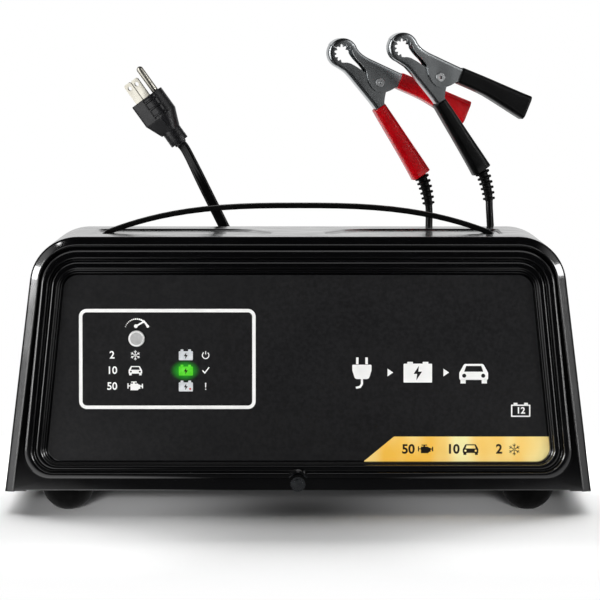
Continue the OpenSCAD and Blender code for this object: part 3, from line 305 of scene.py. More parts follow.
# zinc plate on steel: pale, with a soft crystalline mottle
zincPlate = surface("zinc plate, bright", {
    "base": "#8C8F93", "second": "#A3A6AA", "patch": 3, "rough": (0.22, 0.34), "shader": {"Metallic": 1.0},
    "bumps": [(2, 0.006, even)]})
# natural rubber, moulded: matt black with a powdery bloom
mouldedRubber = surface("natural rubber, moulded", {
    "base": "#030303", "second": "#070707", "patch": 7, "rough": (0.75, 0.9),
    "shader": {"IOR": 1.52, "Specular IOR Level": 0.05}, "bumps": [(2.5, 0.02, even)]})
# nylon, moulded: smooth, half matt, with faint drawing marks along its length
strapNylon = surface("nylon, moulded", {
    "base": "#040404", "second": "#080808", "patch": 16, "rough": (0.5, 0.6),
    "shader": {"IOR": 1.53, "Specular IOR Level": 0.15}, "bumps": [(3, 0.01, (0.3, 1, 1))]})
# ABS, moulded: plain pale grey with the fine matt grain of its mould
buttonPlastic = surface("ABS, moulded grey", {
    "base": "#A9A9A9", "second": "#B6B6B5", "patch": 3, "rough": (0.4, 0.5), "shader": {"IOR": 1.53},
    "bumps": [(2, 0.02, even)]})
# phenolic, moulded: hard near-black with a low, even shine
housingPlastic = surface("phenolic, moulded black", {
    "base": "#1E1F22", "second": "#2A2B2F", "patch": 6, "rough": (0.35, 0.5), "shader": {"IOR": 1.6},
    "bumps": [(2, 0.01, even)]})
# epoxy, cast: clear and wet-looking, faintly green
lampEpoxy = surface("epoxy, cast clear", {
    "base": "#CFE0CF", "second": "#E3EDE2", "patch": 3, "rough": (0.08, 0.14),
    "shader": {"IOR": 1.55, "Transmission Weight": 0.5}})
# glass epoxy board under green solder mask: the copper shows as fine ridges
boardEpoxy = surface("glass epoxy, solder mask", {
    "base": "#124D2A", "second": "#1F6B3C", "patch": 4, "rough": (0.2, 0.34), "shader": {"IOR": 1.55},
    "bumps": [(2, 0.012, even)], "bands": [{"way": "X", "mm": 2.5, "depth": 0.03, "wander": 6.0}]})
# brass, turned: soft yellow with fine rings from the tool
turnedBrass = surface("brass, turned", {
    "base": "#B8A05C", "second": "#CBB67A", "patch": 3, "rough": (0.22, 0.34), "shader": {"Metallic": 1.0},
    "bumps": [(2, 0.006, (1, 6, 1))]})
# stacked laminations under varnish: fine parallel sheet edges, drawn 1 mm apart for the real 0.5
laminatedSteel = surface("silicon steel, stacked and varnished", {
    "base": "#35312C", "second": "#4C4740", "patch": 5, "rough": (0.35, 0.55), "shader": {"Metallic": 0.6},
    "bands": [{"way": "Y", "mm": 1.0, "depth": 0.05, "wander": 0.4}]})
# zinc plated sheet, pressed: grey and cloudy, with long rolling marks
zincSheet = surface("zinc plated sheet, pressed", {
    "base": "#8F9296", "second": "#A9ACB0", "patch": 6, "rough": (0.3, 0.45), "shader": {"Metallic": 1.0},
    "bumps": [(3, 0.01, (0.3, 1, 1))]})
# nylon, moulded without pigment: milky, with light that goes a little way in
bobbinNylon = surface("nylon, natural", {
    "base": "#DCD6C4", "second": "#E9E4D6", "patch": 9, "rough": (0.35, 0.5),
    "shader": {"IOR": 1.53, "Subsurface Weight": 0.1}, "bumps": [(3, 0.01, even)]})
# enamelled copper, wound in layers: each turn is a ridge
woundCopper = surface("copper wire, enamelled and wound", {
    "base": "#8E4422", "second": "#B3622F", "patch": 3, "rough": (0.22, 0.35), "shader": {"Metallic": 0.8},
    "bands": [{"way": "Z", "mm": 1.6, "depth": 0.35, "wander": 0.3}]})
# aluminium, extruded: straight die lines along the fins
extrudedAlloy = surface("aluminium, extruded", {
    "base": "#A9ACB0", "second": "#C0C2C5", "patch": 8, "rough": (0.3, 0.42), "shader": {"Metallic": 1.0},
    "stretch": (1, 1, 0.15), "bumps": [(2, 0.012, (1, 1, 0.06))]})
# vinyl, extruded on thin wire: smooth, with a soft shine
greyWireVinyl = surface("vinyl, extruded grey", {
    "base": "#2F2F30", "second": "#3A3A3B", "patch": 5, "rough": (0.35, 0.45), "shader": {"IOR": 1.53},
    "bumps": [(3, 0.012, even)]})
# the same in dull red, on the low voltage side
redWireVinyl = surface("vinyl, extruded red", {
    "base": "#7E1A1A", "second": "#932424", "patch": 5, "rough": (0.35, 0.45), "shader": {"IOR": 1.53},
    "bumps": [(3, 0.012, even)]})
# vinyl jacket of the leads: soft sheen, slightly wavy from the reel it was drawn off
leadVinyl = surface("vinyl, extruded black", {
    "base": "#030303", "second": "#060607", "patch": 14, "rough": (0.25, 0.36),
    "shader": {"IOR": 1.53, "Specular IOR Level": 0.3}, "bumps": [(6, 0.04, even)]})
# ribs and boots are moulded of the same vinyl, with a duller skin
bootVinyl = surface("vinyl, moulded black", {
    "base": "#040404", "second": "#070707", "patch": 8, "rough": (0.38, 0.5),
    "shader": {"IOR": 1.53, "Specular IOR Level": 0.2}, "bumps": [(3, 0.01, even)]})
# the plug's vinyl, moulded harder: charcoal, with slight sink marks
plugVinyl = surface("vinyl, moulded charcoal", {
    "base": "#121214", "second": "#18181A", "patch": 8, "rough": (0.34, 0.42), "shader": {"IOR": 1.53},
    "bumps": [(9, 0.02, even)]})
# brass, nickel plated: pale and warm, streaked from the stamping
pinBrass = surface("brass, nickel plated", {
    "base": "#C6C2B6", "second": "#D8D5CA", "patch": 8, "rough": (0.3, 0.4), "shader": {"Metallic": 1.0},
    "stretch": (1, 1, 0.4)})
# pressed steel, nickel plated: fine rolling lines and slight rubbing
jawSteel = surface("steel, pressed and nickel plated", {
    "base": "#BCC0C2", "second": "#CACED0", "patch": 14, "smear": 10, "rough": (0.19, 0.27),
    "shader": {"Metallic": 1.0}, "stretch": (1, 1, 0.4)})
# rivets are the same plated steel, turned, and drawn much lighter than the jaws: a painted highlight on their
# heads
paintedBrightRivetSteel = surface("steel, turned and nickel plated", {
    "base": "#E2E4E5", "second": "#ECEEEF", "patch": 6, "rough": (0.32, 0.4), "shader": {"Metallic": 1.0}})
# spring wire, drawn: dark bright steel with lines along the wire
springWire = surface("spring wire, drawn", {
    "base": "#7F8286", "second": "#979A9E", "patch": 3, "rough": (0.25, 0.36), "shader": {"Metallic": 1.0},
    "bumps": [(2, 0.006, (3, 1, 1))]})
# dipped vinyl: wet gloss that sags a little over the metal
redDip = surface("vinyl, dipped red", {
    "base": "#A4000A", "second": "#B60610", "patch": 18, "rough": (0.2, 0.3),
    "shader": {"IOR": 1.53, "Specular IOR Level": 0.3, "Coat Weight": 0.1, "Coat Roughness": 0.08},
    "bumps": [(14, 0.06, even)]})
# the same dip in black: deep, with a quieter highlight
blackDip = surface("vinyl, dipped black", {
    "base": "#040404", "second": "#070708", "patch": 18, "rough": (0.28, 0.36),
    "shader": {"IOR": 1.53, "Specular IOR Level": 0.18, "Coat Weight": 0.04, "Coat Roughness": 0.08},
    "bumps": [(14, 0.06, even)]})
# acrylic window over a lit lamp: bright green, a little uneven
greenLight = surface("acrylic, lit green", {
    "base": "#46B01E", "second": "#66C83E", "patch": 3, "rough": (0.3, 0.4),
    "shader": {"IOR": 1.49, "Emission Color": toLinear("#2CC410"), "Emission Strength": 0.34}})
# red ink, one small dot of the same print
redInk = surface("screen ink, red", {
    "base": "#C33A36", "second": "#CC4A44", "patch": 6, "rough": (0.35, 0.42), "shader": {"IOR": 1.5}})
print("materials made")


# camera and stage
camera = {"at": (1.3, -3240, 304), "pitch": 87.04, "lens": 284.5, "sensor": 36, "clip": (100, 60000)}
view = bpy.data.cameras.new("view")
view.lens = camera["lens"]
view.sensor_width = camera["sensor"]
view.sensor_fit = "HORIZONTAL"
view.clip_start, view.clip_end = (v * 0.001 for v in camera["clip"])
eye = bpy.data.objects.new("view", view)
eye.location = [v * 0.001 for v in camera["at"]]
eye.rotation_euler = (math.radians(camera["pitch"]), 0, 0)
scene.collection.objects.link(eye)
scene.camera = eye

# the floor shows the shadow round the object and runs out into white paper further off
stage = {"floorSize": 30000, "floorTone": "#F6F6F6", "shadowReach": (380, 600), "roomLight": 0.03,
         "backdrop": 1.0, "floorLampSpread": 11}
# what gloss sees of the room: dark ahead, bright straight behind, grey to the left and right of the front,
# each between two parts of the way across (X) or back (Y), and the floor near the object
glossRoom = {"ahead": 0.02, "behind": 0.8, "left": 1.7, "right": 0.95, "nearFloor": 0.08,
             "asideX": (0.45, 0.8), "asideY": (-0.15, 0.1), "behindY": (0.55, 0.95), "nearReach": (250, 700)}


def glossLevel(tree, way):
    # how bright the room is in one direction
    parts = addNode(tree, "ShaderNodeSeparateXYZ", links={0: way})

    def ramp(axis, start, end, low, high):
        return addNode(tree, "ShaderNodeMapRange",
                       {"interpolation_type": "SMOOTHSTEP", "From Min": start, "From Max": end,
                        "To Min": low, "To Max": high}, {"Value": parts.outputs[axis]}).outputs[0]

    near, far = glossRoom["asideX"]
    left = ramp("X", -far, -near, glossRoom["left"], 0.0)
    right = ramp("X", near, far, 0.0, glossRoom["right"])
    aside = addNode(tree, "ShaderNodeMath", {"operation": "ADD"}, {0: left, 1: right}).outputs[0]
    return addNode(tree, "ShaderNodeMath", {"operation": "MULTIPLY_ADD"},
                   {0: aside, 1: ramp("Y", *glossRoom["asideY"], 1.0, 0.0),
                    2: ramp("Y", *glossRoom["behindY"], glossRoom["ahead"], glossRoom["behind"])}).outputs[0]


floorPlane = bpy.data.meshes.new("floor")
half = stage["floorSize"] * 0.0005
floorPlane.from_pydata([(-half, -half, 0), (half, -half, 0), (half, half, 0), (-half, half, 0)], [],
                       [(0, 1, 2, 3)])
floor = bpy.data.objects.new("floor", floorPlane)
scene.collection.objects.link(floor)
floorPaper = bpy.data.materials.new("paper sweep, matt white")
floorPaper.use_nodes = True
tree = floorPaper.node_tree
tree.nodes.clear()
paper = addNode(tree, "ShaderNodeBsdfDiffuse", {"Color": toLinear(stage["floorTone"]), "Roughness": 0.0})
spot = addNode(tree, "ShaderNodeTexCoord").outputs["Object"]
away = addNode(tree, "ShaderNodeVectorMath", {"operation": "LENGTH"}, {0: spot})
fade = addNode(tree, "ShaderNodeMapRange",
               {"interpolation_type": "SMOOTHSTEP", "From Min": stage["shadowReach"][0] * 0.001,
                "From Max": stage["shadowReach"][1] * 0.001}, {"Value": away.outputs["Value"]})
ray = addNode(tree, "ShaderNodeLightPath")
direct = addNode(tree, "ShaderNodeMath", {"operation": "MAXIMUM"},
                 {0: ray.outputs["Is Camera Ray"], 1: ray.outputs["Is Transmission Ray"]})
openPaper = addNode(tree, "ShaderNodeEmission", {"Color": (1, 1, 1, 1), "Strength": 1.0})
seenFloor = addNode(tree, "ShaderNodeMixShader",
                    links={0: fade.outputs["Result"], 1: paper.outputs[0], 2: openPaper.outputs[0]})
outward = addNode(tree, "ShaderNodeVectorMath", {"operation": "NORMALIZE"}, {0: spot}).outputs["Vector"]
near = addNode(tree, "ShaderNodeMapRange",
               {"interpolation_type": "SMOOTHSTEP", "From Min": glossRoom["nearReach"][0] * 0.001,
                "From Max": glossRoom["nearReach"][1] * 0.001, "To Min": glossRoom["nearFloor"],
                "To Max": 0.0}, {"Value": away.outputs["Value"]})
floorLevel = addNode(tree, "ShaderNodeMath", {"operation": "MAXIMUM"},
                     {0: near.outputs["Result"], 1: glossLevel(tree, outward)})
mirrored = addNode(tree, "ShaderNodeEmission", {"Color": (1, 1, 1, 1)}, {"Strength": floorLevel.outputs[0]})
unlit = addNode(tree, "ShaderNodeMixShader",
                links={0: ray.outputs["Is Glossy Ray"], 1: paper.outputs[0], 2: mirrored.outputs[0]})
choice = addNode(tree, "ShaderNodeMixShader",
                 links={0: direct.outputs[0], 1: unlit.outputs[0], 2: seenFloor.outputs[0]})
addNode(tree, "ShaderNodeOutputMaterial", links={"Surface": choice.outputs[0]})
floorPlane.materials.append(floorPaper)

# a white backdrop behind the object, and a room that dims in front of it, which gloss shows
world = bpy.data.worlds.new("studio")
world.use_nodes = True
scene.world = world
tree = world.node_tree
tree.nodes.clear()
ray = addNode(tree, "ShaderNodeLightPath")
dim = glossLevel(tree, addNode(tree, "ShaderNodeTexCoord").outputs["Generated"])
soft = addNode(tree, "ShaderNodeBackground", {"Color": (1, 1, 1, 1), "Strength": stage["roomLight"]})
room = addNode(tree, "ShaderNodeBackground", {"Color": (1, 1, 1, 1)}, {"Strength": dim})
white = addNode(tree, "ShaderNodeBackground", {"Color": (1, 1, 1, 1), "Strength": stage["backdrop"]})
glossed = addNode(tree, "ShaderNodeMixShader",
                  links={0: ray.outputs["Is Glossy Ray"], 1: soft.outputs[0], 2: room.outputs[0]})
seen = addNode(tree, "ShaderNodeMath", {"operation": "MAXIMUM"},
               {0: ray.outputs["Is Camera Ray"], 1: ray.outputs["Is Transmission Ray"]})
pick = addNode(tree, "ShaderNodeMixShader",
               links={0: seen.outputs[0], 1: glossed.outputs[0], 2: white.outputs[0]})
addNode(tree, "ShaderNodeOutputWorld", links={"Surface": pick.outputs[0]})
scene.view_settings.view_transform = "Standard"

# softboxes only light, the front pair all but the floor, and two low lamps light the floor under the case's
# ends; windows, strips and cards only show in gloss, and all but the strips only on the enamel
lamps = [
    # name, place, aims at, width, height, watts, what it does
    ("rear softbox", (0, 1600, 1250), (0, -100, 0), 3000, 900, 94, "light"),
    ("overhead softbox", (0, 650, 1700), (0, 0, 0), 1800, 1300, 24, "light"),
    ("left softbox", (-2000, -1400, 250), (0, -100, 110), 1400, 480, 46, "object"),
    ("right softbox", (2000, -1400, 250), (0, -100, 110), 1400, 480, 32, "object"),
    ("left window", (-1500, -450, 460), (0, -50, 150), 700, 420, 24, "enamel"),
    ("upper left window", (-720, -350, 1250), (0, -100, 180), 150, 110, 1.4, "enamel"),
    ("right window", (1500, -450, 560), (0, -50, 150), 700, 380, 18, "enamel"),
    ("left strip", (-1500, -800, 420), (-100, -50, 100), 60, 1100, 3, "gloss"),
    ("right strip", (1500, -800, 420), (100, -50, 100), 60, 1100, 3, "gloss"),
    ("left card", (-1250, -1450, 150), (-100, -50, 100), 460, 340, 4.6, "enamel"),
    ("right card", (1250, -1450, 150), (100, -50, 100), 420, 340, 3.4, "enamel"),
    ("top card", (0, -1600, 1500), (0, -100, 100), 2600, 800, 9, "enamel"),
    ("left floor lamp", (-165, -950, 110), (-118, -50, 0), 120, 60, 0.075, "floor"),
    ("right floor lamp", (165, -950, 110), (118, -50, 0), 120, 60, 0.06, "floor"),
]
lit = {use: bpy.data.collections.new(use) for use in ("object", "enamel", "floor")}
lit["object"].objects.link(floor)
lit["floor"].objects.link(floor)
lit["object"].collection_objects[0].light_linking.link_state = "EXCLUDE"
for lampName, at, aim, wide, high, watts, use in lamps:
    lamp = bpy.data.lights.new(lampName, "AREA")
    lamp.shape = "RECTANGLE"
    lamp.size = wide * 0.001
    lamp.size_y = high * 0.001
    lamp.energy = watts
    holder = bpy.data.objects.new(lampName, lamp)
    holder.location = [v * 0.001 for v in at]
    holder.rotation_euler = (Vector(aim) - Vector(at)).to_track_quat("-Z", "Y").to_euler()
    if use == "floor":
        lamp.spread = math.radians(stage["floorLampSpread"])
    holder.visible_camera = False
    holder.visible_diffuse = use in ("light", "object", "floor")
    holder.visible_glossy = not holder.visible_diffuse
    holder.light_linking.receiver_collection = lit.get(use)
    scene.collection.objects.link(holder)
print("camera and light set")


# mains lead: flat three-core vinyl, from the rear panel to the plug
mainsLead = {"width": 7.6, "thick": 3.6, "exit": (-115, 112, 72), "coilAt": (-70, 150), "turns": 5,
             "innerR": 34, "pitch": 5.6, "layer": 8.2, "lift": 3.8, "outerR": 48, "twist": 36,
             "twistFrom": 0.86, "twistOver": 0.04}
clampLead = {"diameter": 5.2, "turns": 6, "innerR": 19.6, "pitch": 5.8, "layer": 5.8, "lift": 2.6,
             "outerR": 37, "lineY": 142}
plug = {"at": (-83.8, 143, 241), "tilt": -35.8, "turn": -25.3}


def coilPath(x, lineY, lead):
    # two layers: it winds in on the floor, steps up at the middle and winds out on top
    path = []
    perTurn = 32
    for k in range(lead["turns"] * perTurn + 1):
        a = 360 * k / perTurn
        off = a - lead["turns"] * 180
        r = lead["innerR"] + lead["pitch"] * abs(off) / 360
        z = lead["lift"] + lead["layer"] * min(1, max(0, (off + 90) / 180))
        angle = math.radians(a - 90)
        path.append(Vector((x + r * math.cos(angle), lineY + lead["outerR"] + r * math.sin(angle), z)))
    return path


def leadPath(drop, rise, x, lineY, lead):
    # down behind the case, round the coil and up again
    return smoothPath(drop, 4), coilPath(x, lineY, lead), smoothPath(rise, 5)


def pathLength(path):
    return sum((b - a).length for a, b in zip(path, path[1:]))


plugAxis = Vector((math.sin(math.radians(plug["tilt"])), 0, math.cos(math.radians(plug["tilt"]))))
plugAt = Vector(plug["at"])
mainsDrop = [(-115, 112, 72), (-115, 118, 72), (-115, 130, 70), (-115, 141, 63), (-115, 148, 52),
             (-115, 150, 38), (-113, 150, 25), (-106, 150, 14), (-96, 150, 6), (-84, 150, 3.8),
             (-77.6, 150, 3.8)]
mainsRise = [(-62.4, 150, 12), (-57, 150, 12), (-45, 150, 14), (-34, 149, 21), (-27, 149, 32), (-25, 148, 46),
             (-24, 146, 72), (-26, 143, 102), (-32, 141, 131), (-41, 140, 158), (-53, 140, 182),
             (-66, 141, 208), tuple(plugAt - 8 * plugAxis), tuple(plugAt)]
down, coil, up = leadPath(mainsDrop, mainsRise, mainsLead["coilAt"][0], mainsLead["coilAt"][1], mainsLead)
mainsPath = down + coil + up
thin = [Vector((0, i / (len(down) - 1), 1 - i / (len(down) - 1))) for i in range(len(down))]
centre = Vector((mainsLead["coilAt"][0], mainsLead["coilAt"][1] + mainsLead["outerR"], 0))
for p in coil:
    thin.append((Vector((centre.x, centre.y, p.z)) - p).normalized())
# the ribbon lies flat to the front behind the case and gives a part of a turn under the plug
for i in range(len(up)):
    part = (i / (len(up) - 1) - mainsLead["twistFrom"]) / mainsLead["twistOver"]
    twist = math.radians(mainsLead["twist"]) * max(0, min(1, part))
    thin.append(Vector((math.sin(twist), math.cos(twist), 0.0)))
core = mainsLead["thick"] / 2
reach = mainsLead["width"] / 2 - core
ribbon = []
ribbonSides = 36
for k in range(ribbonSides):
    a = 2 * math.pi * k / ribbonSides
    x = mainsLead["width"] / 2 * math.cos(a)
    tall = max(math.sqrt(max(0, core ** 2 - (x - c) ** 2)) for c in (-reach, 0, reach))
    ribbon.append((x, math.copysign(max(tall, 0.12 if abs(math.sin(a)) > 0.05 else 0), math.sin(a))))
mainsRibbon = sweep("mains_lead", mainsPath, ribbon, leadVinyl, thinWays=thin, sharpAngle=60)
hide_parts("ac_drop", "ac_coil", "ac_rise")

# clamp leads: round single-core vinyl
redDrop = [(0, 112, 72), (0, 116, 72), (0, 126, 70), (0, 134, 64), (0, 140, 56), (0, 142, 44), (0, 142, 30),
           (2, 142, 20), (8, 142, 10), (16, 142, 5), (26, 142, 2.6), (29.8, 142, 2.6)]
redRise = [(40.2, 142, 8.4), (45, 142, 8.4), (55, 142, 11), (63, 142, 17), (68, 143, 25), (70, 144, 36),
           (71, 146, 60), (76, 149, 90), (84, 153, 120), (91, 158, 150), (93.4, 162, 170),
           (94.0387, 164.285, 188.193), (93.7678, 164.217, 196.188)]
blackDrop = [(x + 90, y, z) for x, y, z in redDrop]
blackRise = [(130.2, 142, 8.4), (135, 142, 8.4), (145, 142, 11), (153, 142, 17), (158, 142, 25),
             (160, 142, 36), (160, 142, 60), (156, 141, 90), (150, 140, 120), (142, 140, 150),
             (138, 140, 172), (136.439, 139.285, 192.093), (136.168, 139.217, 200.088)]
clampCords = {}
for colour, drop, rise, coilX in (("red", redDrop, redRise, 35), ("black", blackDrop, blackRise, 125)):
    down, coil, up = leadPath(drop, rise, coilX, clampLead["lineY"], clampLead)
    path = down + coil + up
    tube = sweep(colour + "_clamp_lead", path, circle(clampLead["diameter"] / 2, 16), leadVinyl,
                 sharpAngle=60)
    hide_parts(colour + "_drop", colour + "_coil", colour + "_rise")
    clampCords[colour] = (tube, path)
print("leads laid: mains %.0f mm, clamps %.0f and %.0f mm" % (
    pathLength(mainsPath), pathLength(clampCords["red"][1]), pathLength(clampCords["black"][1])))


# strain reliefs: ribbed tapering tails on the rear panel
relief = {"rear": 95.5, "panel": 1.2, "exitZ": 72, "ribs": 6}


def strainRelief(name, x, holeR, tailHigh, tailWide, tailEnd):
    # rings of (height radius, width radius, y)
    rear, inside = relief["rear"], relief["rear"] - relief["panel"]
    rings = [(0.3, 0.3, inside - 8), (holeR - 1.7, holeR - 1.7, inside - 8),
             (holeR - 1.5, holeR - 1.5, inside - 7.8), (holeR + 1, holeR + 1, inside - 2),
             (holeR + 1, holeR + 1, inside - 0.2), (holeR - 0.1, holeR - 0.1, inside),
             (holeR - 0.1, holeR - 0.1, rear), (holeR + 2.2, holeR + 2.2, rear),
             (holeR + 2.5, holeR + 2.5, rear + 0.3), (holeR + 2.5, holeR + 2.5, rear + 2.0),
             (holeR + 2.0, holeR + 2.0, rear + 2.5), (holeR + 0.5, holeR + 0.5, rear + 2.55)]
    start = rear + 2.6
    run = (tailEnd - start - 1.5) / relief["ribs"]
    for k in range(relief["ribs"]):
        for part, dip in ((0.0, 1.1), (0.12, 0.25), (0.2, 0.0), (0.52, 0.0), (0.6, 0.25), (0.72, 1.1),
                          (0.99, 1.1)):
            t = (k + part) / relief["ribs"]
            high = holeR + 0.5 + (tailHigh - holeR - 0.5) * t
            wide = holeR + 0.5 + (tailWide - holeR - 0.5) * t
            rings.append((high - dip * (1 - 0.4 * t), wide - dip * (1 - 0.4 * t), start + run * (k + part)))
    rings += [(tailHigh - 0.3, tailWide - 0.3, tailEnd - 1.4), (tailHigh, tailWide, tailEnd - 1.0),
              (tailHigh - 0.1, tailWide - 0.1, tailEnd - 0.2), (tailHigh - 0.6, tailWide - 0.6, tailEnd)]
    points = [(x + wide * c, y, relief["exitZ"] + high * s)
              for high, wide, y in rings for c, s in circle(1, 36)]
    return addPiece(name, points, loftFaces(len(rings), 36), bootVinyl, sharpAngle=50)


mainsRelief = strainRelief("mains_relief", -115, 7.5, 3.1, 4.9, 118)
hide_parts("mains_bush")
clampReliefs = [strainRelief("clamp_relief_" + side, x, 6.5, 3.7, 3.7, 116)
                for side, x in (("left", 0), ("right", 90))]
clampReliefs = joined("clamp_reliefs", clampReliefs)
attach(clampReliefs, "root")
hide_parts("clamp_lead_bushes")


# case cover: one enamelled sheet with hems round its two openings
case = {"width": 390, "gap": 14, "height": 169.5, "lean": 0.12, "corner": 32, "steps": 16, "flange": 14,
        "flangeEnd": 95.4}
caseTop = case["gap"] + case["height"]
leanFactor = math.sqrt(1 + case["lean"] ** 2)


def halfWidth(z):
    return case["width"] / 2 - case["lean"] * (z - case["gap"])


def caseOutline(inset, low, lowRadius, steps):
    shift, top, r = inset * leanFactor, caseTop - inset, case["corner"] - inset
    return roundedOutline([(shift - halfWidth(low), low), (halfWidth(low) - shift, low),
                           (halfWidth(top) - shift, top), (shift - halfWidth(top), top)],
                          [lowRadius, lowRadius, r, r], steps)


# across the sheet at the front opening: (inset, distance from the middle), out to the hem and back inside
hem = [(0, 0), (0, 94.2), (0.06, 95.0), (0.28, 95.7), (0.7, 96.35), (1.3, 96.95), (2.1, 97.6), (3.1, 98.38),
       (4.1, 99.12), (4.9, 99.66), (5.4, 99.9), (5.8, 100), (6.1, 99.9), (6.25, 99.6), (6.3, 99.1),
       (6.3, 95.5), (1.2, 95.5), (1.2, 0)]
profile = [(d, -y) for d, y in hem] + [(d, y) for d, y in reversed(hem[1:-1])]
rings = []
for d, y in profile:
    outline = caseOutline(d, case["gap"], 0.05, case["steps"])
    # up the right side, over the top and down the left side
    path = outline[2 * case["steps"] + 1:] + outline[:1]
    rings.append([(x, y, z) for x, z in path])
points = [ring[i] for i in range(len(rings[0])) for ring in rings]
cover = addPiece("case_cover", points, loftFaces(len(rings[0]), len(profile)), blackEnamel,
                 sharpAngle=50)

recess = {"inner": 18, "outer": 138, "halfDepth": 49, "edge": 1.2, "cutFrom": 178, "cutTo": 190,
          "strapHalf": 131.6, "strapThick": 2.7, "strapWidth": 20, "slotGap": 0.6}
# the press of a recess: (how far out of its outline, how far below the top), then the underside
press = [(1.25, 0.04), (0.6, 0.08), (0.2, 0.18), (-0.1, 0.36), (-0.35, 0.58), (-0.6, 0.78), (-0.9, 0.96),
         (-1.3, 1.09), (-1.8, 1.16), (-2.4, 1.2), (-3.0, 1.2), (-3.0, 2.4), (1.25, 2.4)]


def recessOutline(d):
    # its inner end runs slantwise to the front
    inner, outer, half = recess["inner"], recess["outer"], recess["halfDepth"]
    return roundedOutline([(inner - d, -half - d), (outer + d, -half - d), (outer + d, half + d),
                           (inner + 18 - d, half + d), (inner - d, -half + 34 + d)],
                          [5 + d, 12 + d, 12 + d, 26, 10], 7)


def cutAway(piece, cutter):
    modify(piece, "cut", "BOOLEAN", {"operation": "DIFFERENCE", "solver": "EXACT", "object": cutter})
    applyModifiers(piece, 50)
    bpy.data.objects.remove(cutter)


def prism(outline, z0, z1, mirror):
    points = [(mirror * x, y, z) for z in (z0, z1) for x, y in outline]
    return addPiece("cutter", points, loftFaces(2, len(outline)), blackEnamel)


trays = []
for mirror in (1, -1):
    cutAway(cover, prism(recessOutline(recess["edge"]), recess["cutFrom"], recess["cutTo"], mirror))
    size = len(recessOutline(0))
    points = [(mirror * x, y, caseTop - depth) for d, depth in press for x, y in recessOutline(d)]
    # the tray's floor closes its ring of top rows, its underside the last two
    faces = loftFaces(len(press) - 2, size, capStart=False)
    under, edge = (len(press) - 2) * size, (len(press) - 1) * size
    faces += [(under + s, under + (s + 1) % size, edge + (s + 1) % size, edge + s) for s in range(size)]
    faces.append(tuple(range(under, under + size)))
    faces += [(edge + s, edge + (s + 1) % size, (s + 1) % size, s) for s in range(size)]
    tray = addPiece("tray", points, faces, blackEnamel, sharpAngle=50)
    half, wide = recess["strapThick"] / 2 + recess["slotGap"], recess["strapWidth"] / 2 + recess["slotGap"]
    slot = [(recess["strapHalf"] + i * half, k * wide) for i, k in ((-1, -1), (1, -1), (1, 1), (-1, 1))]
    cutAway(tray, prism(slot, 170, recess["cutTo"], mirror))
    trays.append(tray)
flanges = []
for side in (-1, 1):
    # the sheet turns in under each side, with a small bend radius
    x0, x1 = side * (halfWidth(case["gap"]) - case["flange"]), side * (halfWidth(case["gap"]) - 0.9)
    outline = [(x0, 0), (x1, 0), (x1 + side * 0.55, 0.2), (x1 + side * 0.85, 0.6), (x1 + side * 0.7, 1.2),
               (x0, 1.2)]
    points = [(x, y, case["gap"] + z) for y in (-case["flangeEnd"], case["flangeEnd"]) for x, z in outline]
    flanges.append(addPiece("flange", points, loftFaces(2, len(outline)), blackEnamel))
cover = joined("case_cover", [cover] + trays + flanges)
modify(cover, "even normals", "WEIGHTED_NORMAL", {"keep_sharp": True})
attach(cover, "root")
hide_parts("cover")
lit["enamel"].objects.link(cover)
print("cover made")


# front panel: one stamping with a raised bead and two ledges down to its bed
panel = {"rimTop": 175.9, "rimLow": 22.3, "topStep": 1.14, "lowStep": 0.74, "topR": 25.5, "lowR": 18,
         "lean": 0.10, "halfTop": 169.328, "bedY": -90, "bedInset": 15.4, "sheet": 1.1, "notchZ": 18.65,
         "notchR": 6.5, "buttonAt": (-107.5, 115.4), "buttonHole": 5.55}
film = {"inset": 16.0, "y": -90.3, "thick": 0.28}
outlineSteps, notchSteps = 12, 36


def rimHalf(z):
    return panel["halfTop"] + panel["lean"] * (panel["rimTop"] - z)


def throughNotch(outline, d, cut=True):
    # adds the points over the screw's notch between the two bottom corners
    low = outline[outlineSteps][1]
    radius = panel["notchR"] + 0.94 * min(d, 3) if cut else 0
    added = []
    for k in range(notchSteps + 1):
        x = 12 * (2 * k / notchSteps - 1)
        high = panel["notchZ"] + math.sqrt(max(0, radius ** 2 - x ** 2)) if abs(x) < radius else low
        added.append((x, max(low, high)))
    return outline[:outlineSteps + 1] + added + outline[outlineSteps + 1:]


def rimOutline(d):
    shift = d * math.sqrt(1 + panel["lean"] ** 2)
    top, low = panel["rimTop"] - d * panel["topStep"], panel["rimLow"] + d * panel["lowStep"]
    topR, lowR = panel["topR"] - 0.98 * d, panel["lowR"] - 0.6 * d
    outline = roundedOutline([(shift - rimHalf(low), low), (rimHalf(low) - shift, low),
                              (rimHalf(top) - shift, top), (shift - rimHalf(top), top)],
                             [lowR, lowR, topR, topR], outlineSteps)
    return throughNotch(outline, d)


def plateOutline(inset, low):
    return throughNotch(caseOutline(inset, low, 2, outlineSteps), 0, cut=False)


def filledWithHole(y, outline, hole):
    # a flat face round a round hole, as triangles
    mesh = bmesh.new()
    loops = []
    for ring in (outline, hole):
        verts = [mesh.verts.new((x, y, z)) for x, z in ring]
        loops += [mesh.edges.new((verts[i], verts[(i + 1) % len(verts)])) for i in range(len(verts))]
    bmesh.ops.triangle_fill(mesh, edges=loops, use_beauty=True)
    mesh.verts.index_update()
    points = [tuple(v.co) for v in mesh.verts]
    faces = [tuple(v.index for v in face.verts) for face in mesh.faces]
    mesh.free()
    return points, faces


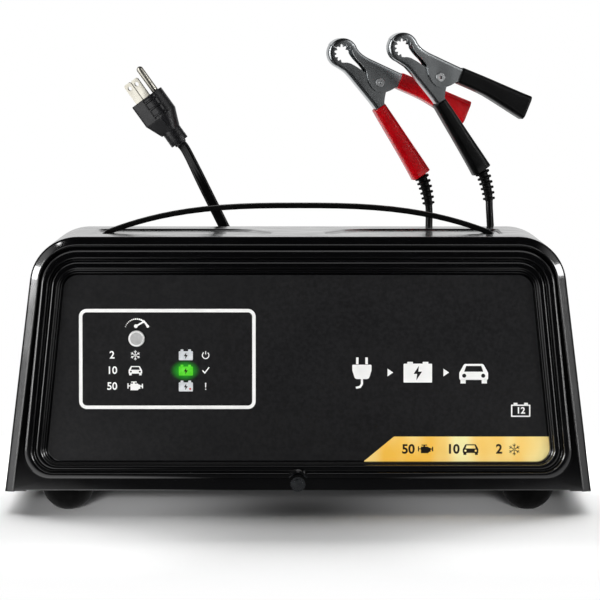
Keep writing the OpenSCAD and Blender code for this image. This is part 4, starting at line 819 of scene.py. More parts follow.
# across the stamping, from the plate over the bead and down the two ledges to the bed: (inset, y)
stamping = [(0, -95.5), (0, -96.2), (0.12, -96.9), (0.45, -97.6), (0.95, -98.2), (1.6, -98.62), (2.4, -98.88),
            (3.2, -98.98), (4, -99), (4.8, -98.97), (5.4, -98.8), (5.8, -98.4), (6.2, -97.5), (6.5, -96.2),
            (6.8, -95.4), (7.1, -95.05), (7.4, -95.0), (7.8, -95.15), (8.3, -95.5), (8.8, -95.76),
            (9.3, -95.88), (10.2, -95.9), (11.2, -95.8), (11.65, -95.6), (12, -95.2), (12.2, -94.7),
            (12.4, -94), (12.55, -93.2), (12.75, -92.6), (13.0, -92.2), (13.4, -92), (14.2, -92),
            (14.5, -91.8), (14.7, -91.4), (14.85, -90.9), (15, -90.4), (15.15, -90.12), (15.4, -90)]
rows = [(plateOutline(1.5, 16.2), -94.3), (plateOutline(1.5, 15.1), -94.35), (plateOutline(1.5, 14.7), -94.7),
        (plateOutline(1.5, 14.65), -95.1), (plateOutline(1.65, 14.85), -95.4),
        (plateOutline(2.0, 15.3), -95.5)]
rows += [(rimOutline(d), y) for d, y in stamping]
size = len(rows[0][0])
points = [(x, y, z) for outline, y in rows for x, z in outline]
faces = loftFaces(len(rows), size, capStart=False, capEnd=False)
buttonHole = [(panel["buttonAt"][0] + x, panel["buttonAt"][1] + z)
              for x, z in circle(panel["buttonHole"], 40)]
bedPoints, bedFaces = filledWithHole(panel["bedY"], rimOutline(panel["bedInset"]), buttonHole)
base = len(points)
points += bedPoints
faces += [tuple(base + i for i in face) for face in bedFaces]
frontPanel = addPiece("front_stamping", points, faces, blackEnamel, sharpAngle=60)
modify(frontPanel, "sheet", "SOLIDIFY", {"thickness": panel["sheet"] * 0.001, "offset": -1})
modify(frontPanel, "even normals", "WEIGHTED_NORMAL", {"keep_sharp": True})
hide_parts("front_panel")
lit["enamel"].objects.link(frontPanel)

filmPoints, filmFaces = filledWithHole(film["y"], rimOutline(film["inset"]), buttonHole)
controlFilm = addPiece("control_film", filmPoints, filmFaces, printedFilm)
controlFilm.data.polygons.foreach_set("use_smooth", [False] * len(controlFilm.data.polygons))
modify(controlFilm, "film", "SOLIDIFY", {"thickness": film["thick"] * 0.001, "offset": -1})
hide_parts("control_label")
print("front panel made")


# rate button: turned cap with a raised rim, its collar behind the panel
button = {"rimFrom": 3.95, "rimTo": 4.3, "rimHighlightColour": "#EDEDEC",
          "profile": [(0.02, -91.35), (3.1, -91.35), (3.5, -91.42), (3.8, -91.55), (4.2, -91.6),
                      (4.8, -91.55), (5.15, -91.35), (5.3, -91.0), (5.3, -88.7), (6.8, -88.7), (6.8, -87.2),
                      (5.3, -87.2), (2.0, -87.2), (2.0, -84.5), (0.02, -84.5)]}
# the raised rim is painted lighter than the cap, a painted highlight where it would catch the light
tree = buttonPlastic.node_tree
shader = tree.nodes["Principled BSDF"]
away = addNode(tree, "ShaderNodeVectorMath", {"operation": "LENGTH"},
               {"Vector": roundAbout(tree, panel["buttonAt"], (1, 1))})
onRim = addNode(tree, "ShaderNodeMapRange", {"From Min": button["rimFrom"], "From Max": button["rimTo"]},
                {"Value": away.outputs["Value"]})
paintedRimHighlight = addNode(tree, "ShaderNodeMixRGB", {"Color2": toLinear(button["rimHighlightColour"])},
               {"Fac": onRim.outputs["Result"], "Color1": shader.inputs["Base Color"].links[0].from_socket})
tree.links.new(paintedRimHighlight.outputs["Color"], shader.inputs["Base Color"])
rateButton = turned("rate_button_cap", button["profile"], (panel["buttonAt"][0], 0, panel["buttonAt"][1]),
                    (0, 1, 0), buttonPlastic, sides=48, sharpAngle=45, body="rate_button")
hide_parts("rate_button")


# carrying strap: flat moulded nylon, arched over the top, its heads under the slots
strap = {"half": 131.6, "thick": 3.4, "width": 20, "rise": 18.8, "endZ": 182.4, "headZ": 175.8,
         "headHalf": (4, 10)}


def strapZ(x):
    return strap["endZ"] + strap["rise"] * (1 - (abs(x) / strap["half"]) ** 2.8)


halfPath = [(strap["half"], 0, z) for z in (strap["headZ"] - 0.2, 177.5, 179, 180.2)]
halfPath += [(131.45, 0, 181.3), (131.0, 0, 182.1), (130.2, 0, 182.75), (129.2, 0, strapZ(129.2))]
halfPath += [(x, 0, strapZ(x)) for x in (127, 124, 120, 115, 109, 102, 94, 85, 75, 64, 52, 40, 27, 14)]
strapPath = [Vector((-x, y, z)) for x, y, z in halfPath] + [Vector((0, 0, strapZ(0)))]
strapPath += [Vector(p) for p in reversed(halfPath)]
ways = pathDirections(strapPath)
thin = [Vector((0, 1, 0)).cross(way) for way in ways]
wide, tall = strap["width"] / 2, strap["thick"] / 2
band = roundedOutline([(-wide, -tall), (wide, -tall), (wide, tall), (-wide, tall)], [1.0] * 4, 5)
strapBand = sweep("strap_band", strapPath, band, strapNylon, body="strap", thinWays=thin)
heads = []
for side in (-1, 1):
    a, b = strap["headHalf"]
    outline = roundedOutline([(-a, -b), (a, -b), (a, b), (-a, b)], [0.8] * 4, 4)
    points = [(side * strap["half"] + x * k, y * k, strap["headZ"] + z)
              for k, z in ((0.93, -3.0), (1, -2.7), (1, -0.3), (0.97, 0)) for x, y in outline]
    heads.append(addPiece("head", points, loftFaces(4, len(outline)), strapNylon,
                          body="strap"))
strapBand = joined("strap_band", [strapBand] + heads)
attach(strapBand, "strap")
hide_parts("carrying_strap")
print("strap and button made")


# plug: moulded body, flat at the sides and round at the ground pin, on a plain collar
plugFrame = (Matrix.Translation(plugAt) @ Matrix.Rotation(math.radians(plug["tilt"]), 4, "Y")
             @ Matrix.Rotation(math.radians(plug["turn"]), 4, "Z"))
plugForm = {"back": -10.9, "round": 3.2, "half": 9.3, "shoulder": 23.5, "neck": 11.3, "face": 40.8,
            "neckBack": -6.2, "neckHalf": 6.7, "neckRound": 3.4, "barsAt": (25.9, 31.6, 37.3),
            "barReach": (0.2, 9.6), "dip": 1.0}


def between(a, b, t):
    # 0 before a, 1 after b, and eased from one to the other
    t = max(0, min(1, (t - a) / (b - a)))
    return t * t * (3 - 2 * t)


def plugSection(t):
    # t runs from 0 on the body to 1 at the neck, where the round side flattens and leaves a ridge
    back = plugForm["back"] + (plugForm["neckBack"] - plugForm["back"]) * t
    half = plugForm["half"] + (plugForm["neckHalf"] - plugForm["half"]) * t
    reach = plugForm["half"] + (plugForm["neckRound"] - plugForm["half"]) * t
    corner = 2.0 - 0.8 * t
    start = plugForm["round"]
    side = [(back + corner - corner * math.sin(a), half - corner + corner * math.cos(a))
            for a in (math.radians(degrees) for degrees in (0, 22, 45, 68, 90))]
    run = [(start + (side[0][0] - start) * k / 16, half) for k in range(16)]
    left = run + side
    left += [(back, (half - corner) * (1 - 2 * k / 12)) for k in range(1, 12)]
    left += [(x, -y) for x, y in reversed(side)] + [(x, -half) for x, y in reversed(run)]
    lip = 0.3 * min(1, 4 * t)
    ridge = [(start + 0.45, -half - lip), (start + 0.9, -half + 0.1 * t)]
    arc = [(start + reach * math.cos(math.radians(a)), half * math.sin(math.radians(a)))
           for a in range(-78, 79, 6)]
    return left + ridge + arc + [(x, -y) for x, y in reversed(ridge)]


rows = []
levels = [plugForm["neck"] + 0.61 * k for k in range(20)]
levels += [plugForm["shoulder"] + 0.3 * k for k in range(55)]
levels += [plugForm["face"] + s for s in (-0.6, -0.35, -0.12, 0)]
for z in levels:
    t = max(0, min(1, (plugForm["shoulder"] - z) / (plugForm["shoulder"] - plugForm["neck"])))
    edge = 0.45 * (max(0, z - plugForm["face"] + 0.45) / 0.45) ** 2
    row = []
    for x, y in plugSection(t):
        # a finger recess on each flat side, crossed by bars
        low, high = plugForm["barReach"]
        side = between(low - 0.5, low, x) * (1 - between(high - 0.6, high, x)) * between(4, 5.5, abs(y))
        span = between(24.0, 24.5, z) * (1 - between(39.4, 39.9, z))
        bar = max(1 - between(0.45, 0.75, abs(z - at)) for at in plugForm["barsAt"])
        shrink = edge + plugForm["dip"] * side * span * (1 - bar)
        out = math.hypot(x, y)
        row.append(plugFrame @ Vector((x * (out - shrink) / out, y * (out - shrink) / out, z)))
    rows.append(row)
points = [p for row in rows for p in row]
plugBody = addPiece("plug_moulding", points, loftFaces(len(rows), len(rows[0])), plugVinyl,
                    sharpAngle=24)
# the lead goes into a short neck under the collar
collarProfile = [(0.05, -0.6), (4.1, -0.6), (4.4, -0.3), (4.4, 0.9), (6.4, 0.9), (6.75, 1.05), (6.9, 1.4),
                 (6.9, 5.0), (6.75, 5.15), (6.75, 5.45), (6.9, 5.6), (6.9, 8.4), (6.75, 8.55), (6.75, 8.85),
                 (6.9, 9.0), (6.9, 11.6), (6.75, 11.95), (6.4, 12.1), (0.05, 12.1)]
plugCollar = turned("plug_collar", collarProfile, plugAt, plugAxis, plugVinyl, sides=40,
                    sharpAngle=30)
plugBody = joined("plug_moulding", [plugBody, plugCollar])
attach(plugBody, "root")
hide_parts("plug_body")
print("plug made")


# clamps: steel jaws with dipped grips, a spring on the rivet and a ribbed boot for the lead
clamps = {"red": {"at": (56.8, 155, 284.2), "dip": redDip, "slot": "grip_red", "body": "red_jaw"},
          "black": {"at": (99.2, 130, 288.1), "dip": blackDip, "slot": "grip_black", "body": "black_jaw"}}
clampYaw = math.radians(14)
grips = {
    "moving": {"at": (14.8, 1), "angle": -22.8, "width": 13.6, "long": 55,
               "top": [(0, 5.0), (20, 5.4), (48, 5.6), (55, 5.8)],
               "low": [(0, -3.9), (14, -3.9), (22, -4.2), (30, -5.3), (38, -6.6), (48, -8.2), (55, -9.2)]},
    "fixed": {"at": (0.85, -17.5), "angle": -57.2, "width": 10.2, "long": 58,
              "top": [(0, 3.1), (30, 4.5), (48, 5.3), (58, 5.6)],
              "low": [(0, -3.4), (26, -4.3), (48, -5.2), (58, -5.8)]},
}


def clampPlace(at, x, y, z):
    return Vector((at[0] + x * math.cos(clampYaw) - y * math.sin(clampYaw),
                   at[1] + x * math.sin(clampYaw) + y * math.cos(clampYaw), at[2] + z))


def along(table, u):
    # the value that a table of (place, value) has at u
    for (a, va), (b, vb) in zip(table, table[1:]):
        if u <= b:
            return va + (vb - va) * max(0, (u - a) / (b - a))
    return table[-1][1]


def addGrip(name, at, form, material, body):
    # a dipped sleeve: round at the edges, rolled at its mouth and cut square at its end
    angle = math.radians(form["angle"])
    wall, long = 1.35, form["long"]
    rows = [(0.9, 0.35), (0.15, 0.4), (0.0, 0.75), (0.05, 1.1), (0.35, wall)]
    rows += [(u, wall) for u in (1.2, 2.5, 5, 8, 11, 14, 17, 20, 23, 26, 29, 32, 35, 38, 41, 44, 47, 50, 53)
             if u < long - 1]
    rows += [(long - 0.45, wall), (long - 0.15, wall - 0.12), (long, wall - 0.45)]
    points = []
    for u, grow in rows:
        low, top, half = along(form["low"], u) - grow, along(form["top"], u) + grow, form["width"] / 2 + grow
        # the steel's edges show softly through the sleeve as it runs on
        radius = 3.0 + 1.0 * between(10, 40, u) + min(0, grow - wall)
        for y, v in roundedOutline([(-half, low), (half, low), (half, top), (-half, top)], [radius] * 4, 7):
            x = form["at"][0] + u * math.cos(angle) - v * math.sin(angle)
            z = form["at"][1] + u * math.sin(angle) + v * math.cos(angle)
            points.append(clampPlace(at, x, y, z))
    size = len(points) // len(rows)
    return addPiece(name, points, loftFaces(len(rows), size, capStart=False), material, body,
                    sharpAngle=60)


# jaws: each a pressed channel of two toothed plates and a rounded back
jaw = {"head": (-26.5, 21), "headR": 10.7, "mouthR": 6.6, "tooth": 1.7, "meet": 138, "handle": 48,
       "sheet": 1.5, "bend": 2.4, "broken": 0.2}


def onHead(a, r):
    # a point of the round head, at an angle and a radius
    return (jaw["head"][0] + r * math.cos(math.radians(a)), jaw["head"][1] + r * math.sin(math.radians(a)))


def onHandle(which, u, v):
    # a point of a handle: u along its grip from the near end, v across it
    form = grips[which]
    c, s = math.cos(math.radians(form["angle"])), math.sin(math.radians(form["angle"]))
    return (form["at"][0] + u * c - v * s, form["at"][1] + u * s + v * c)


def toothed(a0, a1):
    # the teeth of the mouth between two angles
    points = []
    for t in (30 + 31 * k for k in range(8)):
        if a0 < t < a1:
            points += [onHead(t - 11, jaw["mouthR"]), onHead(t, jaw["mouthR"] - jaw["tooth"]),
                       onHead(t + 11, jaw["mouthR"])]
    return points


def eased(line, cut):
    # takes the corners off an open line, each cut no longer than the given length
    for reach in (cut, cut / 3):
        trimmed = [line[0]]
        for a, b, c in zip(line, line[1:], line[2:]):
            for end in (a, c):
                t = min(0.3, reach / math.dist(b, end))
                trimmed.append((b[0] + (end[0] - b[0]) * t, b[1] + (end[1] - b[1]) * t))
        line = trimmed + [line[-1]]
    return line


def aside(line, d):
    # the line moved sideways by d, to the left of its direction
    moved = []
    for i, p in enumerate(line):
        a = Vector(p) - Vector(line[i - 1]) if i else Vector(line[1]) - Vector(p)
        b = Vector(line[i + 1]) - Vector(p) if i < len(line) - 1 else a
        mean = (a.normalized() + b.normalized()).normalized()
        moved.append(tuple(Vector(p) + Vector((-mean.y, mean.x)) * d / mean.dot(b.normalized())))
    return moved


def addJaw(name, at, back, free, inward, width, holeR, body):
    # the back's bent sheet is swept along its line, and each plate runs from the bend to the free edge
    half, sheet, bend = width / 2, jaw["sheet"], jaw["bend"]
    skin = [(half - bend * (1 - math.cos(a)), bend * (1 - math.sin(a)))
            for a in (math.pi / 2 * k / 5 for k in range(6))]
    skin += [(-y, d) for y, d in reversed(skin)]
    inner = [(-(half - sheet), sheet), (half - sheet, sheet)]
    ring = skin + inner
    lines = [aside(back, inward * d) for y, d in ring]
    points = [(line[i][0], y, line[i][1]) for i in range(len(back)) for line, (y, d) in zip(lines, ring)]
    # the plates close the two sides of the loft that are left out here
    openSides = ({0, len(ring) - 1}, {len(skin) - 1, len(skin)})
    faces = [face for face in loftFaces(len(back), len(ring))
             if len(face) != 4 or {f % len(ring) for f in face} not in openSides]
    hole = circle(holeR, 28)
    for side in (-1, 1):
        plates = []
        for y, d in ((side * half, bend), (side * (half - sheet), sheet)):
            outline = aside(back, inward * d) + free
            platePoints, plateFaces = filledWithHole(y, outline, hole)
            base = len(points)
            points += platePoints
            faces += [tuple(base + i for i in face) for face in plateFaces]
            plates.append((y, outline))
        (y0, outer), (y1, within) = plates
        for a, b, c, d in zip(outer, outer[1:] + outer[:1], within, within[1:] + within[:1]):
            if outer.index(a) < len(back) - 1:
                continue
            base = len(points)
            points += [(a[0], y0, a[1]), (b[0], y0, b[1]), (d[0], y1, d[1]), (c[0], y1, c[1])]
            faces.append((base, base + 1, base + 2, base + 3))
        for k in range(len(hole)):
            (xa, za), (xb, zb) = hole[k], hole[(k + 1) % len(hole)]
            base = len(points)
            points += [(xa, y0, za), (xb, y0, zb), (xb, y1, zb), (xa, y1, za)]
            faces.append((base, base + 1, base + 2, base + 3))
    piece = addPiece(name, [clampPlace(at, *p) for p in points], faces, jawSteel, body,
                     sharpAngle=35)
    mesh = bmesh.new()
    mesh.from_mesh(piece.data)
    bmesh.ops.remove_doubles(mesh, verts=mesh.verts, dist=0.000002)
    bmesh.ops.recalc_face_normals(mesh, faces=mesh.faces)
    mesh.to_mesh(piece.data)
    mesh.free()
    piece.data.set_sharp_from_angle(angle=math.radians(35))
    modify(piece, "broken edges", "BEVEL",
           {"width": jaw["broken"] * 0.001, "segments": 2, "limit_method": "ANGLE",
            "angle_limit": math.radians(40)})
    modify(piece, "even normals", "WEIGHTED_NORMAL", {"weight": 100, "keep_sharp": True})
    return piece


meet, handle = jaw["meet"], jaw["handle"]
upperBack = [onHead(a, jaw["headR"]) for a in range(meet + 8, 15, -8)]
upperBack = upperBack[:-1] + eased([upperBack[-1], (-12.5, 19.5), onHandle("moving", 0, 5.6),
                                    onHandle("moving", handle, 5.6)], 4)
upperFree = eased([onHandle("moving", handle, -7.4), onHandle("moving", 26, -3.2),
                   onHandle("moving", 0, -3.8), (6.5, -6.5), (0, -7.6), (-4.8, -5.2), (-7.9, -0.4),
                   (-9.4, 3.8), (-9.8, 8.4), (-12.2, 12), (-17.3, 17), (-19.7, 20.6)], 1.6)
upperFree += toothed(0, meet) + [onHead(meet + 4, jaw["mouthR"])]
lowerBack = [onHead(a, jaw["headR"]) for a in range(meet + 11, meet + 111, 9)]
lowerBack = lowerBack[:-1] + eased([lowerBack[-1], (-26.8, 8.8), (-23.5, 6.7), onHandle("fixed", 0, -3.1),
                                    onHandle("fixed", handle, -4.9)], 4)
lowerFree = eased([onHandle("fixed", handle, 4.9), onHandle("fixed", 0, 3.1), (4.3, -9), (5.4, -5.5),
                   (6.4, 0), (4.6, 4.8), (0, 6.6), (-5, 6.4), (-10.3, 7), (-16.6, 11.3), (-22.4, 14.4),
                   (-26.8, 14.2)], 1.6)
lowerFree += list(reversed(toothed(meet, 270))) + [onHead(meet + 7, jaw["mouthR"])]
# the boots: mouth and ribs as (distance along the spine, radius), each rib smaller than the one before
boots = {"spine": [(30.64, -63.73), (32.1, -66.2), (33.7, -69.6), (35.0, -73.1), (36.0, -76.7), (36.9, -80.4),
                   (37.6, -84.2), (38.10, -88.012)],
         "mouth": [(-1.0, 4.0), (-0.3, 4.45), (0.2, 4.6), (2.4, 4.6), (2.9, 4.3), (3.1, 3.5)],
         "ribs": 6, "ribsFrom": 3.05, "pitch": 3.8, "shrink": 0.035,
         "rib": [(0.35, 3.4), (0.8, 3.45), (0.98, 4.0), (1.08, 4.9), (1.28, 5.2), (1.6, 5.3), (2.1, 5.3),
                 (2.42, 5.2), (2.62, 4.9), (2.72, 4.0), (2.9, 3.45), (3.45, 3.4)]}
springs = {"radius": 3.4, "half": 2.6, "turns": 5, "wire": 0.6}
for colour, clamp in clamps.items():
    at = clamp["at"]
    for which, form in grips.items():
        body = clamp["body"] if which == "moving" else "root"
        grip = addGrip(f"{colour}_{which}_sleeve", at, form, clamp["dip"], body)
        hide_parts(f"{colour}_{which}_grip")
    for which, back, free, inward, width, holeR in (("moving", upperBack, upperFree, -1, 13.6, 2.18),
                                                    ("fixed", lowerBack, lowerFree, 1, 10.2, 2.1)):
        channel = addJaw(f"{colour}_{which}_channel", at, back, free, inward, width, holeR,
                         clamp["body"] if which == "moving" else "root")
        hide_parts(f"{colour}_{which}_jaw")
    spine = smoothPath([clampPlace(at, x, 0, z) for x, z in boots["spine"]], 12)
    run = [0]
    for a, b in zip(spine, spine[1:]):
        run.append(run[-1] + (b - a).length)

    def onSpine(s):
        for i in range(len(run) - 1):
            if s <= run[i + 1]:
                return spine[i].lerp(spine[i + 1], (s - run[i]) / (run[i + 1] - run[i]))
        return spine[-1]

    shape = list(boots["mouth"])
    for k in range(boots["ribs"]):
        shape += [(boots["ribsFrom"] + boots["pitch"] * k + s, r * (1 - boots["shrink"] * k))
                  for s, r in boots["rib"]]
    shape = [(s, r) for s, r in shape if s < run[-1] - 0.5] + [(run[-1] - 0.3, 2.95), (run[-1], 2.75)]
    path = [onSpine(max(0, s)) + (spine[0] - spine[1]).normalized() * max(0, -s) for s, r in shape]
    boot = sweep(colour + "_lead_boot", path, circle(1, 32), bootVinyl,
                 scales=[r for s, r in shape], sharpAngle=50)
    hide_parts(colour + "_boot")
    # the wire comes from the moving grip, winds round the rivet and ends in the fixed one
    turns, half = springs["turns"], springs["half"]
    wirePath = [(8.4, -half, 3.9), (5.5, -half, 3.75), (2.5, -half, 3.6)]
    wirePath += [(-springs["radius"] * math.sin(a), -half + 2 * half * a / (math.tau * turns),
                  springs["radius"] * math.cos(a))
                 for a in (math.tau * k / 20 for k in range(20 * turns + 1))]
    wirePath += [(-2.2, 2.6, 2.6), (-3.3, 2.6, 0.6), (-3.2, 2.4, -1.5), (-2.4, 2.2, -4.5), (-1.2, 2.1, -9),
                 (0, 2.1, -14)]
    spring = sweep(colour + "_torsion_spring", [clampPlace(at, *p) for p in wirePath],
                   circle(springs["wire"], 10), springWire, sharpAngle=60)
    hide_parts(colour + "_spring")
    tube, path = clampCords[colour]
print("clamps made")


# printed marks on the film, each ink a hair above the one below
marks = {"plane": film["y"], "step": 0.012}
inks = {"white": (whiteInk, []), "grey": (greyInk, []), "gold": (goldInk, []), "dark": (darkInk, []),
        "red": (redInk, []), "green": (greenLight, []), "film": (printedFilm, []), "glow": (litFilm, [])}


def lay(ink, outline, level=1):
    inks[ink][1].append((outline, level))


def stroke(ink, line, width, closed=False, level=1):
    # a line of even width with mitred corners, as one strip of quads
    pts = [Vector(p) for p in line]
    count = len(pts)
    left, right = [], []
    for i in range(count):
        before = pts[i] - pts[i - 1] if i or closed else pts[1] - pts[0]
        after = pts[(i + 1) % count] - pts[i] if i < count - 1 or closed else pts[i] - pts[i - 1]
        a, b = before.normalized(), after.normalized()
        mitre = Vector((-(a.y + b.y), a.x + b.x))
        mitre = mitre.normalized() if mitre.length > 0.01 else Vector((-b.y, b.x))
        reach = width / 2 / max(0.4, mitre.dot(Vector((-b.y, b.x))))
        left.append(pts[i] + mitre * reach)
        right.append(pts[i] - mitre * reach)
    for i in range(count if closed else count - 1):
        k = (i + 1) % count
        lay(ink, [tuple(left[i]), tuple(left[k]), tuple(right[k]), tuple(right[i])], level)


def moved(shape, at, scale=1.0, turn=0.0):
    c, s = math.cos(math.radians(turn)), math.sin(math.radians(turn))
    return [(at[0] + scale * (x * c - z * s), at[1] + scale * (x * s + z * c)) for x, z in shape]


def boxAt(at, w, h, r):
    w, h = w / 2, h / 2
    return moved(roundedOutline([(-w, -h), (w, -h), (w, h), (-w, h)], [r] * 4, 4), at)


def number(text, at, size, ink, bold, level=1):
    curve = bpy.data.curves.new("number", "FONT")
    curve.body = text
    curve.size = size
    curve.align_x = "CENTER"
    curve.align_y = "CENTER"
    curve.offset = bold
    curve.resolution_u = 4
    sign = bpy.data.objects.new("number", curve)
    scene.collection.objects.link(sign)
    bpy.context.view_layer.update()
    mesh = sign.evaluated_get(bpy.context.evaluated_depsgraph_get()).to_mesh()
    for face in mesh.polygons:
        corners = [mesh.vertices[i].co for i in face.vertices]
        lay(ink, [(at[0] + corner.x, at[1] + corner.y) for corner in corners], level)
    bpy.data.objects.remove(sign)


def snowflake(at, size, ink, level=1):
    for k in range(6):
        turn = 60 * k
        stroke(ink, moved([(0, 0.08), (0, 1)], at, size, turn), size * 0.13, level=level + 0.02 * k)
        for side in (-1, 1):
            stroke(ink, moved([(0, 0.55), (side * 0.26, 0.83)], at, size, turn), size * 0.11,
                   level=level + 0.15 + 0.02 * k + 0.01 * side)


def carFront(at, size, ink, level=1):
    # seen from ahead: body, windscreen, lamps and wheels, size is half its width
    lay(ink, moved(roundedOutline([(-1, -0.45), (1, -0.45), (1, 0.05), (0.66, 0.66), (-0.66, 0.66),
                                   (-1, 0.05)], [0.1, 0.1, 0.22, 0.16, 0.16, 0.22], 4), at, size), level)
    lay(ink, moved([(-0.92, -0.7), (-0.55, -0.7), (-0.55, -0.42), (-0.92, -0.42)], at, size), level)
    lay(ink, moved([(0.55, -0.7), (0.92, -0.7), (0.92, -0.42), (0.55, -0.42)], at, size), level)
    ground = "film" if ink == "white" else "gold"
    lay(ground, moved([(-0.66, 0.12), (0.66, 0.12), (0.52, 0.52), (-0.52, 0.52)], at, size), level + 1)
    for side in (-1, 1):
        lay(ground, moved(circle(0.14, 16), (at[0] + side * 0.66 * size, at[1] - 0.16 * size), size),
            level + 1)


def engine(at, size, ink, level=1):
    # block with its top cover, fan and flywheel, size is half its width
    lay(ink, moved([(-0.62, -0.48), (0.3, -0.48), (0.48, -0.3), (0.62, -0.3), (0.62, 0.22), (0.45, 0.22),
                    (0.28, 0.36), (-0.62, 0.36)], at, size), level)
    lay(ink, moved([(-0.3, 0.36), (-0.08, 0.36), (-0.08, 0.5), (0.16, 0.5), (0.16, 0.62), (-0.54, 0.62),
                    (-0.54, 0.5), (-0.3, 0.5)], at, size), level)
    lay(ink, moved([(-1, -0.26), (-0.86, -0.26), (-0.86, 0.0), (-0.62, 0.0), (-0.62, 0.14), (-0.86, 0.14),
                    (-0.86, 0.4), (-1, 0.4)], at, size), level)
    lay(ink, moved([(0.62, -0.02), (0.8, -0.02), (0.8, -0.24), (0.96, -0.24), (0.96, 0.34), (0.8, 0.34),
                    (0.8, 0.12), (0.62, 0.12)], at, size), level)


def battery(at, w, h, ink, bolt):
    # a box with two terminals, and the ink of the bolt on it
    lay(ink, boxAt(at, w, h, 0.5))
    for side in (-1, 1):
        lay(ink, boxAt((at[0] + side * w * 0.27, at[1] + h / 2 + 0.55), w * 0.2, 1.3, 0.2))
    if bolt:
        lay(bolt, moved([(0.15, 1.05), (-0.62, -0.12), (-0.1, -0.12), (-0.22, -1.05), (0.62, 0.22),
                         (0.08, 0.22)], at, h * 0.36), 2)


# the marks are laid out on a drawing grid: its middle column, and a row whose height is known
grid = {"perMm": 1.5052, "middle": 298, "row": 55, "rowZ": 304}


def gridPlace(px, py):
    return ((px - grid["middle"]) / grid["perMm"], grid["rowZ"] - (py - grid["row"]) / grid["perMm"])


# control group: frame, gauge, three rates and three battery lamps
frame0, frame1 = gridPlace(80.3, 407.8), gridPlace(253.8, 310.8)
stroke("white", roundedOutline([frame0, (frame1[0], frame0[1]), frame1, (frame0[0], frame1[1])],
                               [4.0] * 4, 8), 2.3, closed=True)
buttonAt = panel["buttonAt"]
gaugeAt, gaugeR = (buttonAt[0], buttonAt[1] + 5.3), 7.8
for k in range(15):
    a = math.radians(160 - 9.4 * k)
    dotAt = (gaugeAt[0] + gaugeR * math.cos(a), gaugeAt[1] + gaugeR * math.sin(a))
    lay("white", moved(circle(0.3 + 0.034 * k, 14), dotAt), 1 + 0.03 * k)
needle = [(gaugeAt[0] - 0.4, gaugeAt[1] + 3.0), (gaugeAt[0] + 5.6, gaugeAt[1] + 6.4)]
stroke("white", needle, 1.1, level=2)
lay("white", moved(circle(1.25, 20), needle[0]), 2.2)
lay("white", moved(circle(0.95, 20), (gaugeAt[0] + 7.5, gaugeAt[1] + 2.9)), 2.4)
rateX, lampX, noteX = -108.3, -74.7, -61.5
rateRows = (104.3, 94.1, 83.5)
snowflake((rateX, rateRows[0]), 3.3, "white")
carFront((rateX, rateRows[1]), 4.5, "white")
engine((rateX, rateRows[2]), 5.3, "white")
for text, z in (("2", rateRows[0]), ("10", rateRows[1]), ("50", rateRows[2])):
    number(text, (rateX - 15.5, z), 7.0, "white", bold=0.12)
battery((lampX, rateRows[0] - 0.3), 9.4, 6.0, "grey", "dark")
battery((lampX, rateRows[1] - 0.3), 9.4, 6.0, "green", "dark")
lampGlow = {"at": (lampX - 0.6, rateRows[1]), "reach": (10.5, 7.6)}
lay("glow", [(lampGlow["at"][0] + lampGlow["reach"][0] * x, lampGlow["at"][1] + lampGlow["reach"][1] * z)
             for x, z in circle(1, 40)], level=0.4)
battery((lampX, rateRows[2] - 0.3), 9.4, 6.0, "grey", "dark")
lay("red", moved(circle(0.7, 16), (lampX + 2.9, rateRows[2] - 1.6)), 3)
for row, z in enumerate(rateRows):
    at = (noteX, z)
    if row == 0:
        stroke("white", [(at[0] + 2.2 * math.cos(math.radians(a)), at[1] + 2.2 * math.sin(math.radians(a)))
                         for a in range(125, 416, 15)], 0.6)
        stroke("white", [(at[0], at[1] + 0.6), (at[0], at[1] + 2.7)], 0.6, level=1.3)
    elif row == 1:
        stroke("white", moved([(-2.1, 0.1), (-0.6, -1.6), (2.3, 2.2)], at), 0.8)
    else:
        lay("white", moved([(-0.42, 2.4), (0.42, 2.4), (0.25, -0.7), (-0.25, -0.7)], at))
        lay("white", moved(circle(0.42, 14), (at[0], at[1] - 1.9)))

# middle group: from the socket to the battery to the car
midZ = gridPlace(0, 372)[1]
plugX, cellX, carX = gridPlace(362, 0)[0], gridPlace(418, 0)[0], gridPlace(474, 0)[0]
lay("white", moved(roundedOutline([(-4.6, -5), (4.6, -5), (6.4, 0.8), (6.4, 4.6), (-6.4, 4.6), (-6.4, 0.8)],
                                  [2.0, 2.0, 1.2, 0.6, 0.6, 1.2], 5), (plugX, midZ)))
for side in (-1, 1):
    lay("white", boxAt((plugX + side * 3.1, midZ + 7.2), 1.7, 4.6, 0.3))
stroke("white", [(plugX, midZ - 5), (plugX, midZ - 8.2), (plugX - 1.2, midZ - 10.2),
                 (plugX - 4, midZ - 10.8)], 1.5, level=1.4)
battery((cellX, midZ - 1), 19, 12.6, "white", "film")
carFront((carX, midZ - 1.2), 9.6, "white")
for x in (gridPlace(390.5, 0)[0], gridPlace(446.5, 0)[0]):
    lay("white", moved([(-1.9, 2.6), (1.9, 0), (-1.9, -2.6)], (x, midZ - 0.6)))
twelve = (gridPlace(521.2, 0)[0], gridPlace(0, 411.3)[1])
battery(twelve, 12.9, 8.2, "white", None)
lay("film", boxAt(twelve, 11.1, 6.5, 0.3), level=2)
number("12", twelve, 6.0, "white", level=3, bold=0.14)

# rate stripe: metallic ink with the three rates again
stripe = [gridPlace(*p) for p in ((363.5, 462.4), (394.2, 437.2), (551, 437.2), (551, 462.4))]
lay("gold", roundedOutline(stripe, [0.3, 1.5, 1.5, 9.0], 8))
for text, icon, px in (("50", engine, 417), ("10", carFront, 462), ("2", snowflake, 508)):
    x, z = gridPlace(px, 450.2)
    number(text, (x - 5.6, z), 8.6, "dark", level=2, bold=0.26)
    icon((x + 6.0 if text != "2" else x + 4.5, z), 5.2 if text != "2" else 3.9, "dark", level=2)

addGlow(litFilm, "#12A012", lampGlow["at"], lampGlow["reach"], 0.9)

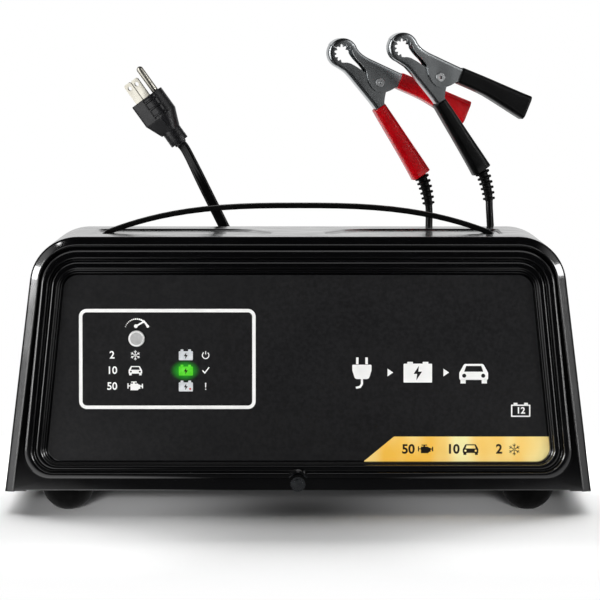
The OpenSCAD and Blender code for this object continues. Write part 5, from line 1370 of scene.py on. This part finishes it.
for ink, (material, shapes) in inks.items():
    points, faces = [], []
    for outline, level in shapes:
        y = marks["plane"] - marks["step"] * level
        start = len(points)
        points += [(x, y, z) for x, z in outline]
        faces.append(tuple(range(start, start + len(outline))))
    if faces:
        mesh = bpy.data.meshes.new("ink")
        mesh.from_pydata([tuple(v * 0.001 for v in p) for p in points], [], faces)
        work = bmesh.new()
        work.from_mesh(mesh)
        bmesh.ops.triangulate(work, faces=work.faces)
        for face in work.faces:
            if face.normal.y > 0:
                face.normal_flip()
        work.to_mesh(mesh)
        work.free()
        mesh.materials.append(material)
        piece = bpy.data.objects.new("marks_" + ink, mesh)
        scene.collection.objects.link(piece)
        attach(piece, "root")
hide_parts("indicator_lenses")


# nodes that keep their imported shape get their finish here, and broken edges where they show
finishes = {
    satinEnamel: ["rear_panel", "base_pan"],
    zincPlate: ["front_screw", "rear_screws", "cover_screws", "chassis_screws", "foot_screws", "board_screws",
                "rectifier_diodes"],
    paintedBrightRivetSteel: ["red_rivet", "black_rivet"],
    mouldedRubber: ["foot_front_left", "foot_front_right", "foot_rear_left", "foot_rear_right"],
    housingPlastic: ["rate_switch", "relay", "circuit_breaker"],
    lampEpoxy: ["led_lamps"],
    boardEpoxy: ["control_board"],
    turnedBrass: ["board_standoffs"],
    laminatedSteel: ["transformer_core"],
    zincSheet: ["transformer_frame"],
    bobbinNylon: ["bobbin"],
    woundCopper: ["primary_winding", "secondary_winding"],
    extrudedAlloy: ["heat_sink"],
    greyWireVinyl: ["mains_wires"],
    redWireVinyl: ["output_wires"],
    pinBrass: ["plug_pins"],
}
edges = {"front_screw": 0.25, "rear_screws": 0.25, "cover_screws": 0.15, "plug_pins": 0.3, "red_rivet": 0.25,
         "black_rivet": 0.25, "rear_panel": 0.2, "base_pan": 0.2, "heat_sink": 0.25, "transformer_core": 0.3,
         "transformer_frame": 0.25, "relay": 0.5, "circuit_breaker": 0.4, "bobbin": 0.3}
for material, names in finishes.items():
    for name in names:
        node = nodes[name]
        node.data.materials.clear()
        node.data.materials.append(material)
        if name in edges:
            modify(node, "one skin", "WELD", {"merge_threshold": 0.00001})
            modify(node, "broken edges", "BEVEL",
                   {"width": edges[name] * 0.001, "segments": 2, "limit_method": "ANGLE",
                    "angle_limit": math.radians(35), "harden_normals": True})
print("packed nodes finished")
